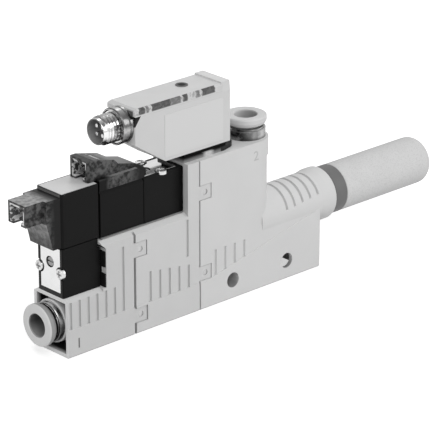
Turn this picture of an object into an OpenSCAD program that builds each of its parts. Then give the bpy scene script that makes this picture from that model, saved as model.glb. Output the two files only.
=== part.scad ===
// Vacuum ejector: three moulded housings in line, two small solenoid valves, a vacuum
// switch on top, push-in fittings for supply and vacuum, and a porous exhaust silencer.
// X runs along the row of housings, from the supply end to the exhaust end. Z is up.
// The origin is on the bottom face, at the middle of the housings.

/* [Housings] */
// Width of the housings
housing_w = 14; // [13.6:0.1:15]
// Length of the supply housing
supply_l = 23; // [22:0.5:26]
// Length of the ejector housing
ejector_l = 45; // [44:0.5:48]
// Height of the low part that the upright valve stands on
low_h = 16.4; // [16:0.1:17.4]
// Height of the tower over the lying valve
tower_rise = 0.6; // [0.5:0.1:3]
// Thickness of the column beside the lying valve
column_t = 4.2; // [3.5:0.1:5]
// How far the lower band stands proud of the sides
band_proud = 0.15; // [0.1:0.05:0.3]
// Height of the lower band where it runs level
band_h = 8; // [7.5:0.1:9]
// Height of the lower band at the exhaust end
band_end_h = 17.6; // [15:0.1:18]
// Width of the bevel along the top edges
bevel_y = 1.6; // [1:0.1:1.8]
// Height of the bevel along the top edges
bevel_z = 1; // [0.6:0.1:1.4]
// Radius of the flutes in the sides
flute_r = 0.45; // [0.25:0.05:0.5]
// Distance between flutes
flute_pitch = 3; // [2.8:0.1:3.4]

/* [Mounting holes] */
// Diameter of the mounting holes
mount_d = 4.3; // [4:0.1:4.5]
// Distance between the mounting holes
mount_spacing = 20.2; // [19:0.1:22]
// Height of the mounting holes
mount_z = 5.6; // [5:0.1:6]
// Thickness of the webs beside the hollow under the exhaust end
web_t = 1.2; // [1:0.1:2]
// Distance from the ejector housing's inner end to the first hole
mount_inset = 12; // [11:0.1:13]

/* [Push-in fittings] */
// Diameter of the hose that the fittings take
hose_d = 6; // [6:0.1:6.4]
// Extra diameter of the release ring's bore over the hose
hose_play = 0.2; // [0.1:0.05:0.4]
// Diameter of the release ring's head
ring_d = 11.6; // [11.2:0.1:12]
// Thickness of the release ring's head
ring_t = 2.2; // [2:0.1:3.5]
// Travel of the release ring
ring_travel = 0.8; // [0.5:0.1:1]
// Gap between the collar and the head of the ring
ring_gap = 0.85; // [0.85:0.05:1.2]
// Diameter of the metal collar
collar_d = 11; // [10.6:0.1:11.4]
// Thickness of the collar's flange
collar_t = 3; // [2:0.1:3.4]
// Height of the supply port's axis
supply_z = 8.8; // [8.6:0.1:9]
// Distance from the ejector housing's inner end to the vacuum port
vacuum_inset = 23; // [22:0.5:24]

/* [Exhaust] */
// Height of the nozzles and the exhaust
exhaust_z = 18.8; // [18.4:0.1:19.2]
// Diameter of the exhaust barrel
barrel_d = 14.2; // [14.1:0.05:14.3]
// Diameter of the barrel's swollen end
barrel_end_d = 15.1; // [14.6:0.1:15.4]
// How far the barrel reaches past the housing
barrel_over = 6.4; // [5.5:0.1:8]
// Length of the dark exhaust collar
exhaust_collar_l = 4.6; // [4:0.1:6]
// Diameter of the silencer
silencer_d = 13.7; // [13:0.1:13.9]
// Length of the silencer
silencer_l = 35; // [30:1:42]
// Radius of the silencer's rounded end
silencer_round = 3; // [1:0.5:4]

/* [Valves] */
// Length of a valve
valve_l = 28.6; // [28.2:0.1:29.4]
// Depth of a valve, from its plate to its seat
valve_t = 12.8; // [12.4:0.1:13.4]
// Width of a valve
valve_w = 10.2; // [10:0.1:10.6]
// Length of the valve's body, below its coil
valve_body_l = 13.6; // [13.2:0.1:14]
// Thickness of the seal under a valve
seal_t = 0.4; // [0.3:0.05:0.6]
// Distance of the lying valve's plug from the valve's front
lie_x0 = 2.8; // [2.6:0.1:3.2]
// Thickness of the valve's front plate
plate_t = 0.5; // [0.4:0.05:0.7]
// Height of the valve's screws above its foot
screw_h = 6.8; // [6:0.1:7.2]
// Distance of the valve's screws from its middle
screw_y = 4.2; // [4:0.05:4.25]
// Radius of the valve's screws
screw_r = 0.6; // [0.5:0.05:0.65]
// Height of the manual override above the valve's foot
override_h = 9; // [8.8:0.1:9.6]
// Diameter of the manual override
override_d = 2.4; // [2:0.1:2.6]
// Travel of the manual override
override_travel = 0.6; // [0.4:0.1:0.8]
// Reach of the upright valve's plug
plug_reach = 10.4; // [9:0.1:12]
// Width of the plug's connector
plug_w = 7; // [6.6:0.1:7.6]
// Height of the plug's connector
plug_h = 5.9; // [5.6:0.1:6.2]
// Wall of the plug's connector
plug_wall = 1; // [0.9:0.05:1.2]

/* [Vacuum switch] */
// Length of the switch
switch_l = 33.4; // [32:0.2:36]
// Width of the switch
switch_w = 11; // [10.6:0.1:11.4]
// Height of the switch, to the top of its end cap
switch_h = 17; // [16.4:0.1:18]
// Height of the clear cover
cover_h = 2.2; // [1.8:0.1:2.4]
// Wall of the clear cover
cover_wall = 0.8; // [0.6:0.1:1]
// Height of the switch above the tower
switch_gap = 2.5; // [2.3:0.1:3]
// Where the switch ends, from the ejector housing's inner end
switch_end = 12.2; // [11.5:0.1:12.8]
// Length of the switch's solid end cap
cap_l = 2.9; // [2.5:0.1:3.5]
// Diameter of the key
key_d = 3.4; // [3:0.1:4.4]
// Travel of the key
key_travel = 0.3; // [0.2:0.05:0.4]
// Diameter of the connector's thread
thread_d = 8; // [7.8:0.1:8.2]
// Length of the connector's threaded sleeve
thread_l = 5.7; // [4.5:0.1:6]
// Height of the connector's axis above the bottom of the switch
connector_h = 11.4; // [11.2:0.1:11.6]

/* [Joints of the housings] */
// Diameter of the link pins
link_d = 1.7; // [1.4:0.1:2]
// Size of the link tongues
tongue = 4; // [3.6:0.1:4.2]
// Thickness of the link tongues
tongue_t = 1.4; // [1:0.1:1.6]

/* [Hidden] */
$fn = 64;

// Clearances: fit is a running fit, seat is a loose one between fixed pieces.
fit = 0.05;
seat = 0.1;
over = 1;

// The lying valve reaches over the upright one: its plug clears the upright valve's end, and
// its coil stands clear of the upright valve's side. This sets the seat, tower and column.
label_t = 0.12;
plug_lift = label_t + 0.08;
coil_gap = 0.2;
seat_h = low_h + valve_l + plug_lift - lie_x0 - valve_t - seal_t;
pulse_top = seat_h + seal_t + valve_t;
tower_h = pulse_top + tower_rise;
pulse_end_x = valve_t + coil_gap + valve_l;

// Places along X, measured from the supply end of the housings.
middle_x = supply_l;
ejector_x = pulse_end_x + coil_gap + column_t;
housing_l = ejector_x + ejector_l;
half_w = housing_w / 2;
side_y = half_w - band_proud;
edge_cut = 0.5;

// Round end of the tower, past the vacuum port, and the lip around its top.
tower_reach = 6;
tower_lip = 0.5;

// Hollow under the exhaust end, open at the bottom, around the outer mounting hole.
end_wall = 3;
hollow_l = 13.5;
hollow_h = 9.5;

// Link tongues and their pins: heights at each joint, and play around a tongue.
link_z_supply = [5.3, 23.9];
link_z_ejector = [10.6, 33.8];
link_play = 0.15;
link_recess = 0.3;
pin_recess = 0.2;

// Grooves where two housings meet: width and depth at each joint.
supply_groove = [0.8, 1.2];
ejector_groove = [0.5, 0.8];

// The supply end is a frame around a round boss, and the fitting seats on the boss.
frame_wall = 1.1;
frame_depth = 7;
boss_r = 5.9;
boss_x = 1.1;
pocket_y = 5.8;

// Push-in fittings, measured outwards from the seat of the collar.
bore_r = (hose_d + hose_play) / 2;
stem_r = bore_r + 0.8;
lip_r = stem_r + 0.2;
lip_t = 0.4;
lip_z = 4.9;
collar_r = collar_d / 2;
rim_r = collar_r - 0.4;
rim_t = 0.4;
shank_r = lip_r + 0.7;
guide_end = lip_z - 0.1;
collet_top = lip_z + lip_t + ring_travel + 0.2;
collet_t = 1.6;
shank_l = collet_top + collet_t + 0.2;
hose_seal_t = 1.5;
hose_stop = shank_l + hose_seal_t + 3.5;
flow_r = 2;
ring_round = 0.45;
ring_mouth = 0.5;

// Upright and lying valve.
tall_x = valve_t + seal_t;
nose_reach = 1.2;
nose_h = 1.6;
valve_corner = 0.6;
part_line = 0.3;
body_side = 0.05;
plate_side = 1.2;
plate_foot = 1.3;
plate_end = 0.2;
head_r = 1.45;
head_t = 1.1;
head_play = 0.35;
screw_grip = 3.4;
seal_end = 0.3;
seal_notch = [-3, -1.1];
cross_w = 0.5;
override_in = 2;
override_window = 0.35;

// Plugs of the valves, in the valve's own frame. The upright valve's plug leads away from
// the valve; the lying valve's plug leads along it, past the end of its coil.
plug_side = 0.5;
plug_z0 = valve_l - 0.7 - plug_h;
pin_r = 0.35;
pin_y = 1.27;
slot_w = 3;
lie_over = 2.7;
lie_tail = 2.4;
lie_tail_t = 1.6;

// Nozzles in the ejector housing.
nozzle_r = 3.4;
nozzle_play = 0.03;
feed_r = 1.5;
jet_x = 4;
jet_l = 16.5;
receiver_x = 25;
receiver_shoulder = 2.8;
spigot_r = 5;
spigot_l = 6;
exhaust_bore_r = 4;
barrel_swell = 5.4;
barrel_round = 0.9;
groove_depth = 0.6;

// Switch.
switch_x1 = ejector_x + switch_end;
switch_x0 = switch_x1 - switch_l;
switch_z = tower_h + switch_gap;
cover_z = switch_z + switch_h - 0.3 - cover_h;
connector_z = switch_z + connector_h;
foot_t = 1.2;
nose_r = 5;
nose_l = 3.1;
nose_in = 4.4;
nose_tail_r = 4.35;
key_x = switch_x1 - 11.4;
key_y = 1;
key_proud = 0.1;
socket_r = thread_d / 2 - 0.75;
socket_depth = 4.6;
undercut = 0.6;

// The cover has bevelled upper edges, and overhangs the sloping end of the case.
cover_edge = 0.5;
cover_lip = 2.2;

// Label on the side of the switch, and the passage and screw in its foot.
label_start = 10.2;
label_end = 2.6;
label_low = 1;
label_high = 12.8;
passage_x = 5;
foot_screw_x = 1.6;
foot_r = 3.4;
foot_bend = 0.6;
foot_side = 0.3;
seal_side = 0.9;
seal_inset = 0.8;

function arc(c, r, a0, a1, n) =
    [for (i = [0 : n]) let (a = a0 + (a1 - a0) * i / n) [c[0] + r * cos(a), c[1] + r * sin(a)]];

// Height of the lower band's top edge at x: level at first, then rising to the exhaust end.
function band_top(x) =
    let (bend = ejector_x + 2)
    x < bend ? band_h : band_h + (band_end_h - band_h) * (x - bend) / (housing_l - bend);

module in_frame() {
    translate([-housing_l / 2, 0, 0]) children();
}

module block(x, y, z) {
    translate([x[0], y[0], z[0]]) cube([x[1] - x[0], y[1] - y[0], z[1] - z[0]]);
}

// An outline in X and Z, extruded along Y.
module slab_y(points, y0, y1) {
    translate([0, y1, 0]) rotate([90, 0, 0]) linear_extrude(y1 - y0) polygon(points);
}

// An outline in Y and Z, extruded along X.
module slab_x(points, x0, x1) {
    translate([x0, 0, 0]) rotate([90, 0, 90]) linear_extrude(x1 - x0) polygon(points);
}

// An outline in X and Y, extruded along Z.
module slab_z(points, z0, z1) {
    translate([0, 0, z0]) linear_extrude(z1 - z0) polygon(points);
}

module rod_x(x0, x1, y, z, r) {
    translate([x0, y, z]) rotate([0, 90, 0]) cylinder(h = x1 - x0, r = r);
}

module rod_y(x, z, r, y0, y1) {
    translate([x, y1, z]) rotate([90, 0, 0]) cylinder(h = y1 - y0, r = r);
}

module rod_z(x, y, z0, z1, r) {
    translate([x, y, z0]) cylinder(h = z1 - z0, r = r);
}

// A turned piece around the X axis at height z: points are [x, radius].
module turned_x(points, z) {
    translate([0, 0, z]) rotate([0, 90, 0]) rotate_extrude()
        polygon([for (p = points) [p[1], p[0]]]);
}

// Both sides of the housings are alike.
module both_sides() {
    children();
    mirror([0, 1, 0]) children();
}

// ---- Housings ----

// Bevel along the upper long edges of a housing, from x0 to x1 under height z.
module bevel_cut(x0, x1, z, y = half_w) {
    both_sides()
        slab_x([[y - bevel_y, z + over], [y - bevel_y, z], [y, z - bevel_z],
                [y + over, z - bevel_z], [y + over, z + over]], x0, x1);
}

// Small bevel along the lower long edges.
module foot_cut(x0, x1) {
    both_sides()
        slab_x([[half_w - edge_cut, -over], [half_w - edge_cut, 0], [half_w, edge_cut],
                [half_w + over, edge_cut], [half_w + over, -over]], x0, x1);
}

// One upright flute on each side, from z0 to z1.
module flute(x, z0, z1) {
    both_sides() rod_z(x, side_y, z0, z1, flute_r);
}

// The raised lower band between x0 and x1.
module band(x0, x1) {
    knee = ejector_x + 2;
    top = x0 < knee && x1 > knee ? [[x1, band_top(x1)], [knee, band_h], [x0, band_h]]
                                 : [[x1, band_top(x1)], [x0, band_top(x0)]];
    slab_y(concat([[x0, 0], [x1, 0]], top), -half_w, half_w);
}

// Groove up both sides at the joint at x, up to height z: size is its width and depth.
module joint_groove(x, size, z) {
    both_sides()
        block([x - size[0] / 2, x + size[0] / 2], [side_y - size[1], half_w + over], [-over, z]);
}

// Windows of a joint, open to the sides, with the neighbour's tongues in them.
module link_windows(x, heights) {
    for (z = heights)
        both_sides()
            block([x - over, x + tongue + 2 * link_play],
                  [half_w - link_recess - tongue_t - link_play, half_w + over],
                  [z - tongue / 2 - link_play, z + tongue / 2 + link_play]);
}

module link_tongues(x, heights) {
    for (z = heights)
        both_sides()
            block([x - over, x + tongue + link_play / 2],
                  [half_w - link_recess - tongue_t, half_w - link_recess],
                  [z - tongue / 2, z + tongue / 2]);
}

module link_holes(x, heights, play) {
    for (z = heights)
        rod_y(x + tongue / 2, z, link_d / 2 + play, -half_w - over, half_w + over);
}

module supply_outline() {
    slab_y([[0, 0], [supply_l, 0], [supply_l, seat_h], [tall_x - nose_reach, seat_h],
            [tall_x - nose_reach, seat_h - nose_h / 2],
            [tall_x, seat_h - nose_h / 2 - nose_reach], [tall_x, low_h], [0, low_h]],
           -side_y, side_y);
    band(0, supply_l);
}

// Stepped bore of a push-in fitting, along +Z from its seat, inwards.
module fitting_bore() {
    translate([0, 0, -shank_l - seat]) cylinder(h = shank_l + seat + over, r = shank_r + 0.02);
    translate([0, 0, -shank_l - hose_seal_t - seat])
        cylinder(h = hose_seal_t + seat + over, r = stem_r + 0.65);
    translate([0, 0, -hose_stop]) cylinder(h = hose_stop, r = bore_r + 0.05);
    translate([0, 0, -hose_stop - 3]) cylinder(h = hose_stop, r = flow_r);
}

module supply_place() {
    in_frame() translate([boss_x, 0, supply_z]) rotate([0, -90, 0]) children();
}

module vacuum_place() {
    in_frame() translate([ejector_x + vacuum_inset, 0, tower_h]) children();
}

module supply_module() {
    color("lightgray") {
        in_frame()
            difference() {
                union() {
                    difference() {
                        supply_outline();
                        bevel_cut(-over, tall_x - nose_reach, low_h);
                        bevel_cut(tall_x - nose_reach - over, supply_l + over, seat_h);
                        foot_cut(-over, supply_l + over);
                        block([-over, frame_depth], [-pocket_y, pocket_y],
                              [frame_wall, low_h - frame_wall]);
                        for (i = [0 : 6])
                            flute(0.9 + i * flute_pitch, band_h, low_h - 0.8);
                        flute(0.9 + 6 * flute_pitch, band_h, seat_h - 3);
                        joint_groove(supply_l, supply_groove, seat_h + over);
                    }
                    rod_x(boss_x, frame_depth + over, 0, supply_z, boss_r);
                    link_tongues(supply_l, link_z_supply);
                }
                translate([boss_x, 0, supply_z]) rotate([0, -90, 0]) fitting_bore();
                link_holes(supply_l, link_z_supply, 0.02);
                for (y = [-screw_y, screw_y])
                    rod_x(tall_x - over, tall_x + screw_grip + seat, y, low_h + screw_h,
                          screw_r + 0.02);
            }
    }
}

module middle_outline() {
    slab_y([[middle_x, 0], [ejector_x, 0], [ejector_x, tower_h],
            [ejector_x - column_t, tower_h], [ejector_x - column_t, seat_h],
            [middle_x, seat_h]], -side_y, side_y);
    band(middle_x, ejector_x);
}

module middle_module() {
    color("lightgray")
        in_frame()
            difference() {
                union() {
                    difference() {
                        middle_outline();
                        joint_groove(middle_x, supply_groove, seat_h + over);
                        joint_groove(ejector_x, ejector_groove, tower_h + over);
                    }
                    link_tongues(ejector_x, link_z_ejector);
                }
                bevel_cut(middle_x - over, ejector_x - column_t, seat_h);
                foot_cut(middle_x - over, ejector_x + over);
                for (i = [0 : 4])
                    flute(middle_x + 5.3 + i * (flute_pitch + 0.4), band_h, 16.6 - i * 0.5);
                flute(ejector_x - column_t - 0.3, 17, seat_h - 1.6);
                link_windows(middle_x, link_z_supply);
                link_holes(middle_x, link_z_supply, 0.02);
                link_holes(ejector_x, link_z_ejector, 0.02);
                for (y = [-screw_y, screw_y])
                    rod_z(pulse_end_x - screw_h, y, seat_h - screw_grip - seat,
                          seat_h + over, screw_r + 0.02);
            }
}

// Plan of the tower: square at the inner end, round about the vacuum port.
function tower_plan(x_end, r) =
    concat([[ejector_x, side_y]], [[ejector_x, -side_y]],
           arc([x_end - r, 0], r, -90, 90, 36));

module barrel() {
    x = ejector_x + vacuum_inset;
    x_end = housing_l + barrel_over;
    r = barrel_d / 2;
    r_end = barrel_end_d / 2;
    turned_x(concat([[x, 0], [x_end, 0]],
                    arc([x_end - barrel_round, r_end - barrel_round], barrel_round, 0, 90, 6),
                    [[x_end - 3.2, r_end], [x_end - barrel_swell, r], [x, r]]),
             exhaust_z);
}

// Grip grooves around the upper half of the barrel.
module barrel_grooves() {
    r = barrel_d / 2;
    d = groove_depth;
    for (i = [0 : 4])
        intersection() {
            turned_x([for (s = [[0, d], [0.25, 0], [0.6, 0], [0.85, d], [0.85, 2], [0, 2]])
                      [ejector_x + vacuum_inset + 9 + i * 3.05 + s[0], r - d + s[1]]],
                     exhaust_z);
            block([ejector_x, housing_l + barrel_over], [-housing_w, housing_w],
                  [exhaust_z + 1.6 + i * 0.3, tower_h]);
        }
}

module ejector_body() {
    port_x = ejector_x + vacuum_inset;
    lip_foot = tower_h - 5;
    color("lightgray")
        in_frame()
            difference() {
                union() {
                    slab_y([[ejector_x, 0], [housing_l, 0], [housing_l, exhaust_z],
                            [ejector_x, exhaust_z]], -side_y, side_y);
                    band(ejector_x, housing_l);
                    slab_z(tower_plan(port_x + tower_reach - tower_lip, side_y), over, lip_foot);
                    slab_z(tower_plan(port_x + tower_reach, side_y), lip_foot, tower_h);
                    barrel();
                }
                foot_cut(ejector_x - over, housing_l + over);
                block([housing_l - end_wall - hollow_l, housing_l - end_wall],
                      [-half_w + web_t, half_w - web_t], [-over, hollow_h]);
                barrel_grooves();
                joint_groove(ejector_x, ejector_groove, tower_h + over);
                for (i = [0 : 3])
                    flute(ejector_x + 5.7 + i * (flute_pitch + 0.5),
                          band_top(ejector_x + 5.7 + i * (flute_pitch + 0.5)), 16.2);
                for (x = [0, mount_spacing])
                    rod_y(ejector_x + mount_inset + x, mount_z, mount_d / 2,
                          -half_w - over, half_w + over);
                translate([port_x, 0, tower_h]) fitting_bore();
                rod_z(port_x, 0, exhaust_z, tower_h - hose_stop, flow_r);
                rod_x(ejector_x - over, ejector_x + jet_x + over, 0, exhaust_z, feed_r);
                rod_x(ejector_x + jet_x, housing_l + barrel_over, 0, exhaust_z,
                      nozzle_r + nozzle_play);
                rod_x(housing_l + barrel_over - spigot_l - receiver_shoulder - seat,
                      housing_l + barrel_over + over, 0, exhaust_z, spigot_r + nozzle_play);
                link_windows(ejector_x, link_z_ejector);
                link_holes(ejector_x, link_z_ejector, 0.02);
                switch_port();
            }
}

// Passage from the switch's foot down into the tower.
module switch_port() {
    rod_z(ejector_x + passage_x, 0, tower_h - 6, tower_h + over, 1);
    rod_z(switch_x1 + foot_screw_x, 0, tower_h - 4, tower_h + over, 0.82);
}

module link_pins() {
    y = half_w - link_recess - pin_recess;
    color("silver")
        in_frame() {
            for (z = link_z_supply)
                rod_y(middle_x + tongue / 2, z, link_d / 2, -y, y);
            for (z = link_z_ejector)
                rod_y(ejector_x + tongue / 2, z, link_d / 2, -y, y);
        }
}

// ---- Push-in fittings ----

module release_ring() {
    z0 = collar_t + ring_gap;
    z1 = z0 + ring_t;
    r = ring_d / 2;
    rotate_extrude()
        polygon(concat(
            [[bore_r, -lip_z - lip_t], [lip_r, -lip_z - lip_t], [lip_r, -lip_z],
             [stem_r, -lip_z], [stem_r, z0], [r - 0.4, z0], [r, z0 + 0.8]],
            arc([r - ring_round, z1 - ring_round], ring_round, 0, 90, 6),
            arc([bore_r + ring_mouth, z1 - ring_mouth], ring_mouth, 90, 180, 5)));
}

module metal_collar() {
    rotate_extrude()
        polygon([[stem_r + fit, -guide_end], [stem_r + fit, collar_t], [rim_r, collar_t],
                 [rim_r, collar_t - rim_t], [collar_r - 0.2, collar_t - rim_t],
                 [collar_r, collar_t - rim_t - 0.2], [collar_r, 0], [shank_r, 0],
                 [shank_r, -shank_l], [lip_r + 0.3, -shank_l], [lip_r + 0.3, -guide_end]]);
}

// Clamping collet with slit teeth.
module collet() {
    difference() {
        rotate_extrude()
            polygon([[bore_r + 0.4, -collet_top], [lip_r + 0.25, -collet_top],
                     [lip_r + 0.25, -collet_top - collet_t],
                     [lip_r - 0.2, -collet_top - collet_t], [bore_r, -collet_top - 0.5]]);
        for (a = [0 : 60 : 300])
            rotate([0, 0, a])
                translate([bore_r - over, -0.2, -collet_top - collet_t - over])
                    cube([over + 0.75, 0.4, collet_t + 2 * over]);
    }
}

module hose_seal() {
    r = (hose_seal_t - 0.1) / 2;
    rotate_extrude() translate([stem_r - 0.08, -shank_l - seat - hose_seal_t / 2]) circle(r = r);
}

module supply_release_ring() { color("gainsboro") supply_place() release_ring(); }
module supply_collar() { color("dimgray") supply_place() metal_collar(); }
module supply_collet() { color("silver") supply_place() collet(); }
module supply_hose_seal() { color("black") supply_place() hose_seal(); }
module vacuum_release_ring() { color("gainsboro") vacuum_place() release_ring(); }
module vacuum_collar() { color("dimgray") vacuum_place() metal_collar(); }
module vacuum_collet() { color("silver") vacuum_place() collet(); }
module vacuum_hose_seal() { color("black") vacuum_place() hose_seal(); }

// ---- Nozzles and exhaust ----

module jet_nozzle() {
    x = ejector_x + jet_x;
    color("goldenrod")
        in_frame()
            turned_x([[x, feed_r + 0.4], [x + 6, 0.5], [x + 9, 0.5], [x + jet_l, 0.8],
                      [x + jet_l, 1.6], [x + jet_l - 2, 2.2], [x + jet_l - 4, nozzle_r],
                      [x + 4.6, nozzle_r], [x + 4.6, nozzle_r - 0.9], [x + 3, nozzle_r - 0.9],
                      [x + 3, nozzle_r], [x, nozzle_r]], exhaust_z);
}

module nozzle_seal() {
    x = ejector_x + jet_x + 3.8;
    color("black")
        in_frame() translate([x, 0, exhaust_z]) rotate([0, 90, 0]) rotate_extrude()
            translate([nozzle_r - 0.42, 0]) circle(r = 0.42);
}

module receiver_nozzle() {
    x = ejector_x + receiver_x;
    x1 = housing_l + barrel_over - spigot_l;
    shoulder = x1 - receiver_shoulder;
    color("goldenrod")
        in_frame()
            turned_x([[x, 2.4], [x + 5, 1.1], [x + 9, 1.1], [x1, 2.4], [x1, spigot_r],
                      [shoulder, spigot_r], [shoulder, nozzle_r], [x, nozzle_r]], exhaust_z);
}

module exhaust_collar() {
    x = housing_l + barrel_over;
    r = silencer_d / 2;
    x1 = x + exhaust_collar_l;
    color("dimgray")
        in_frame()
            turned_x([[x - spigot_l, exhaust_bore_r - 0.8], [x1 + 4, exhaust_bore_r - 0.8],
                      [x1 + 4, exhaust_bore_r], [x1, exhaust_bore_r], [x1, r - 0.1],
                      [x1 - 0.3, r], [x + 0.4, r], [x, r - 0.4], [x, spigot_r],
                      [x - spigot_l, spigot_r]], exhaust_z);
}

module silencer() {
    x = housing_l + barrel_over + exhaust_collar_l;
    x1 = x + silencer_l;
    r = silencer_d / 2;
    color("gainsboro")
        in_frame()
            turned_x(concat([[x, exhaust_bore_r + fit], [x, r - 0.2], [x + 0.2, r]],
                            arc([x1 - silencer_round, r - silencer_round],
                                silencer_round, 90, 0, 8),
                            [[x1, 0], [x1 - 3.5, 0], [x1 - 3.5, exhaust_bore_r + fit]]),
                     exhaust_z);
}

// ---- Valves ----
// In a valve's own frame the front plate lies at x = 0, the seat at x = valve_t,
// the foot at z = 0 and the end of the coil at z = valve_l.

module upright_valve() {
    in_frame() translate([0, 0, low_h]) children();
}

module lying_valve() {
    in_frame() translate([pulse_end_x, 0, pulse_top]) rotate([0, 0, 180]) rotate([0, 90, 0])
        children();
}

// A block with its four upright edges cut.
module cut_block(x, y, z, c) {
    slab_z([[x[0] + c, y[0]], [x[1] - c, y[0]], [x[1], y[0] + c], [x[1], y[1] - c],
            [x[1] - c, y[1]], [x[0] + c, y[1]], [x[0], y[1] - c], [x[0], y[0] + c]],
           z[0], z[1]);
}

// The seat side is cut back above the height of rebate, if that is given.
module valve_body(rebate = valve_l) {
    y = valve_w / 2 - body_side;
    difference() {
        cut_block([0, valve_t], [-y, y], [0, valve_body_l], valve_corner / 2);
        block([-over, plate_t], [-valve_w / 2 + plate_side - seat, valve_w / 2 - plate_side + seat],
              [plate_foot - seat, valve_body_l + over]);
        for (s = [-screw_y, screw_y]) {
            rod_x(-over, valve_t + over, s, screw_h, screw_r + fit);
            rod_x(-over, plate_t, s, screw_h, head_r + head_play);
        }
        rod_x(-over, plate_t + override_in + override_travel + seat, 0, override_h,
              override_d / 2 + fit);
        if (rebate < valve_body_l)
            block([valve_t - nose_reach + seal_t - seat, valve_t + over], [-valve_w, valve_w],
                  [rebate, valve_l]);
    }
}

module valve_coil() {
    y = valve_w / 2;
    cut_block([0, valve_t], [-y, y], [valve_body_l + part_line, valve_l], valve_corner);
    cut_block([plate_t + 1, valve_t - 1], [-y + 1, y - 1],
              [valve_body_l, valve_body_l + part_line + over], valve_corner);
}

module valve_plate() {
    y = valve_w / 2 - plate_side;
    difference() {
        cut_block([0, plate_t], [-y, y], [plate_foot, valve_body_l - plate_end], plate_t / 3);
        for (s = [-screw_y, screw_y])
            rod_x(-over, valve_t, s, screw_h, head_r + head_play);
        rod_x(-over, valve_t, 0, override_h, override_d / 2 + override_window);
    }
}

module valve_override() {
    difference() {
        rod_x(plate_t / 2, plate_t + override_in, 0, override_h, override_d / 2);
        block([0, plate_t / 2 + 0.5], [-override_d, override_d],
              [override_h - cross_w / 2, override_h + cross_w / 2]);
    }
}

module valve_screws() {
    top = plate_t - head_t;
    for (s = [-screw_y, screw_y])
        difference() {
            union() {
                rod_x(top, plate_t, s, screw_h, head_r);
                rod_x(plate_t - seat, valve_t + seal_t + screw_grip, s, screw_h, screw_r);
            }
            block([top - over, top + 0.6], [s - 0.9, s + 0.9],
                  [screw_h - cross_w / 2, screw_h + cross_w / 2]);
            block([top - over, top + 0.6], [s - cross_w / 2, s + cross_w / 2],
                  [screw_h - 0.9, screw_h + 0.9]);
        }
}

// Flat seal between the valve and the housing, as wide as y and from z0 to z1.
module valve_seal(y, z0, z1, notched) {
    difference() {
        block([valve_t, valve_t + seal_t], [-y, y], [z0, z1]);
        for (s = [-screw_y, screw_y])
            rod_x(valve_t - over, valve_t + seal_t + over, s, screw_h, screw_r + seat);
        if (notched)
            both_sides()
                block([valve_t - over, valve_t + seal_t + over], [y - 1.6, y + over],
                      [screw_h + seal_notch[0], screw_h + seal_notch[1]]);
    }
}

module upright_plug() {
    z0 = plug_z0;
    z1 = z0 + plug_h;
    foot = valve_body_l + part_line + 0.2;
    side = valve_w / 2 - plug_side;
    difference() {
        union() {
            slab_y([[0, foot], [0, z1], [-4.6, z1], [-4.6, z0 - 0.4], [-4, z0 - 2.6],
                    [-3.3, foot + 2.9], [-2.6, foot]], -side, side);
            block([-plug_reach, -4], [-plug_w / 2, plug_w / 2], [z0, z1]);
        }
        block([-plug_reach - over, -3.6], [-plug_w / 2 + plug_wall, plug_w / 2 - plug_wall],
              [z0 + plug_wall, z1 - plug_wall]);
        block([-plug_reach - over, -plug_reach + 2.6], [-slot_w / 2, slot_w / 2],
              [z0 - over, z0 + plug_wall + over]);
        for (y = [-pin_y, pin_y])
            rod_x(-over - 3.6, over, y, z0 + plug_h / 2, pin_r + 0.01);
    }
}

module upright_plug_pins() {
    for (y = [-pin_y, pin_y])
        rod_x(-plug_reach + 1.6, 0, y, plug_z0 + plug_h / 2, pin_r);
}

module lying_plug() {
    foot = valve_body_l + part_line;
    tip = valve_l + lie_over;
    top = lie_x0 + plug_h;
    side = valve_w / 2 - plug_side;
    difference() {
        union() {
            slab_y([[0, foot], [0, valve_l - 0.2], [-lie_x0 - 0.4, valve_l - 0.2],
                    [-lie_x0 - 0.4, foot + 1.4], [-1.7, foot - 0.9], [0, foot - 0.9]],
                   -side, side);
            slab_y([[-lie_x0, tip], [-top, tip], [-top, tip - 1.8], [-7, foot + 8.4],
                    [-5.7, foot + 7.2], [-4.2, foot + 1.2], [-2.6, foot - 1.6],
                    [-lie_tail_t, foot - lie_tail], [-0.1, foot - lie_tail],
                    [-0.1, foot], [-lie_x0, foot + 1]],
                   -plug_w / 2, plug_w / 2);
        }
        block([-top + plug_wall + 0.1, -lie_x0 - plug_wall],
              [-plug_w / 2 + plug_wall, plug_w / 2 - plug_wall], [tip - 5.2, tip + over]);
        block([-lie_x0 - plug_wall - over, -lie_x0 + over], [-slot_w / 2, slot_w / 2],
              [tip - 2.4, tip + over]);
        for (y = [-pin_y, pin_y])
            rod_z(-lie_x0 - plug_h / 2, y, tip - 8.2, tip - 5, pin_r + 0.01);
    }
}

module lying_plug_pins() {
    tip = valve_l + lie_over;
    for (y = [-pin_y, pin_y])
        rod_z(-lie_x0 - plug_h / 2, y, tip - 8.2, tip - 1.6, pin_r);
}

module supply_valve_body() {
    color("#1c1c1c")
        upright_valve() valve_body(seat_h - low_h - nose_h / 2 - nose_reach - seat);
}

module supply_valve_coil() { color("#202020") upright_valve() valve_coil(); }
module supply_valve_plate() { color("white") upright_valve() valve_plate(); }
module supply_valve_override() { color("dimgray") upright_valve() valve_override(); }
module supply_valve_screws() { color("silver") upright_valve() valve_screws(); }

module supply_valve_seal() {
    color("black")
        upright_valve()
            valve_seal(half_w - 0.4, seat, seat_h - low_h - nose_h - nose_reach, true);
}

module supply_valve_label() {
    y = valve_w / 2 - 0.5;
    color("whitesmoke")
        upright_valve() block([0.5, valve_t - 0.6], [-y, y], [valve_l, valve_l + label_t]);
}

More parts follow.
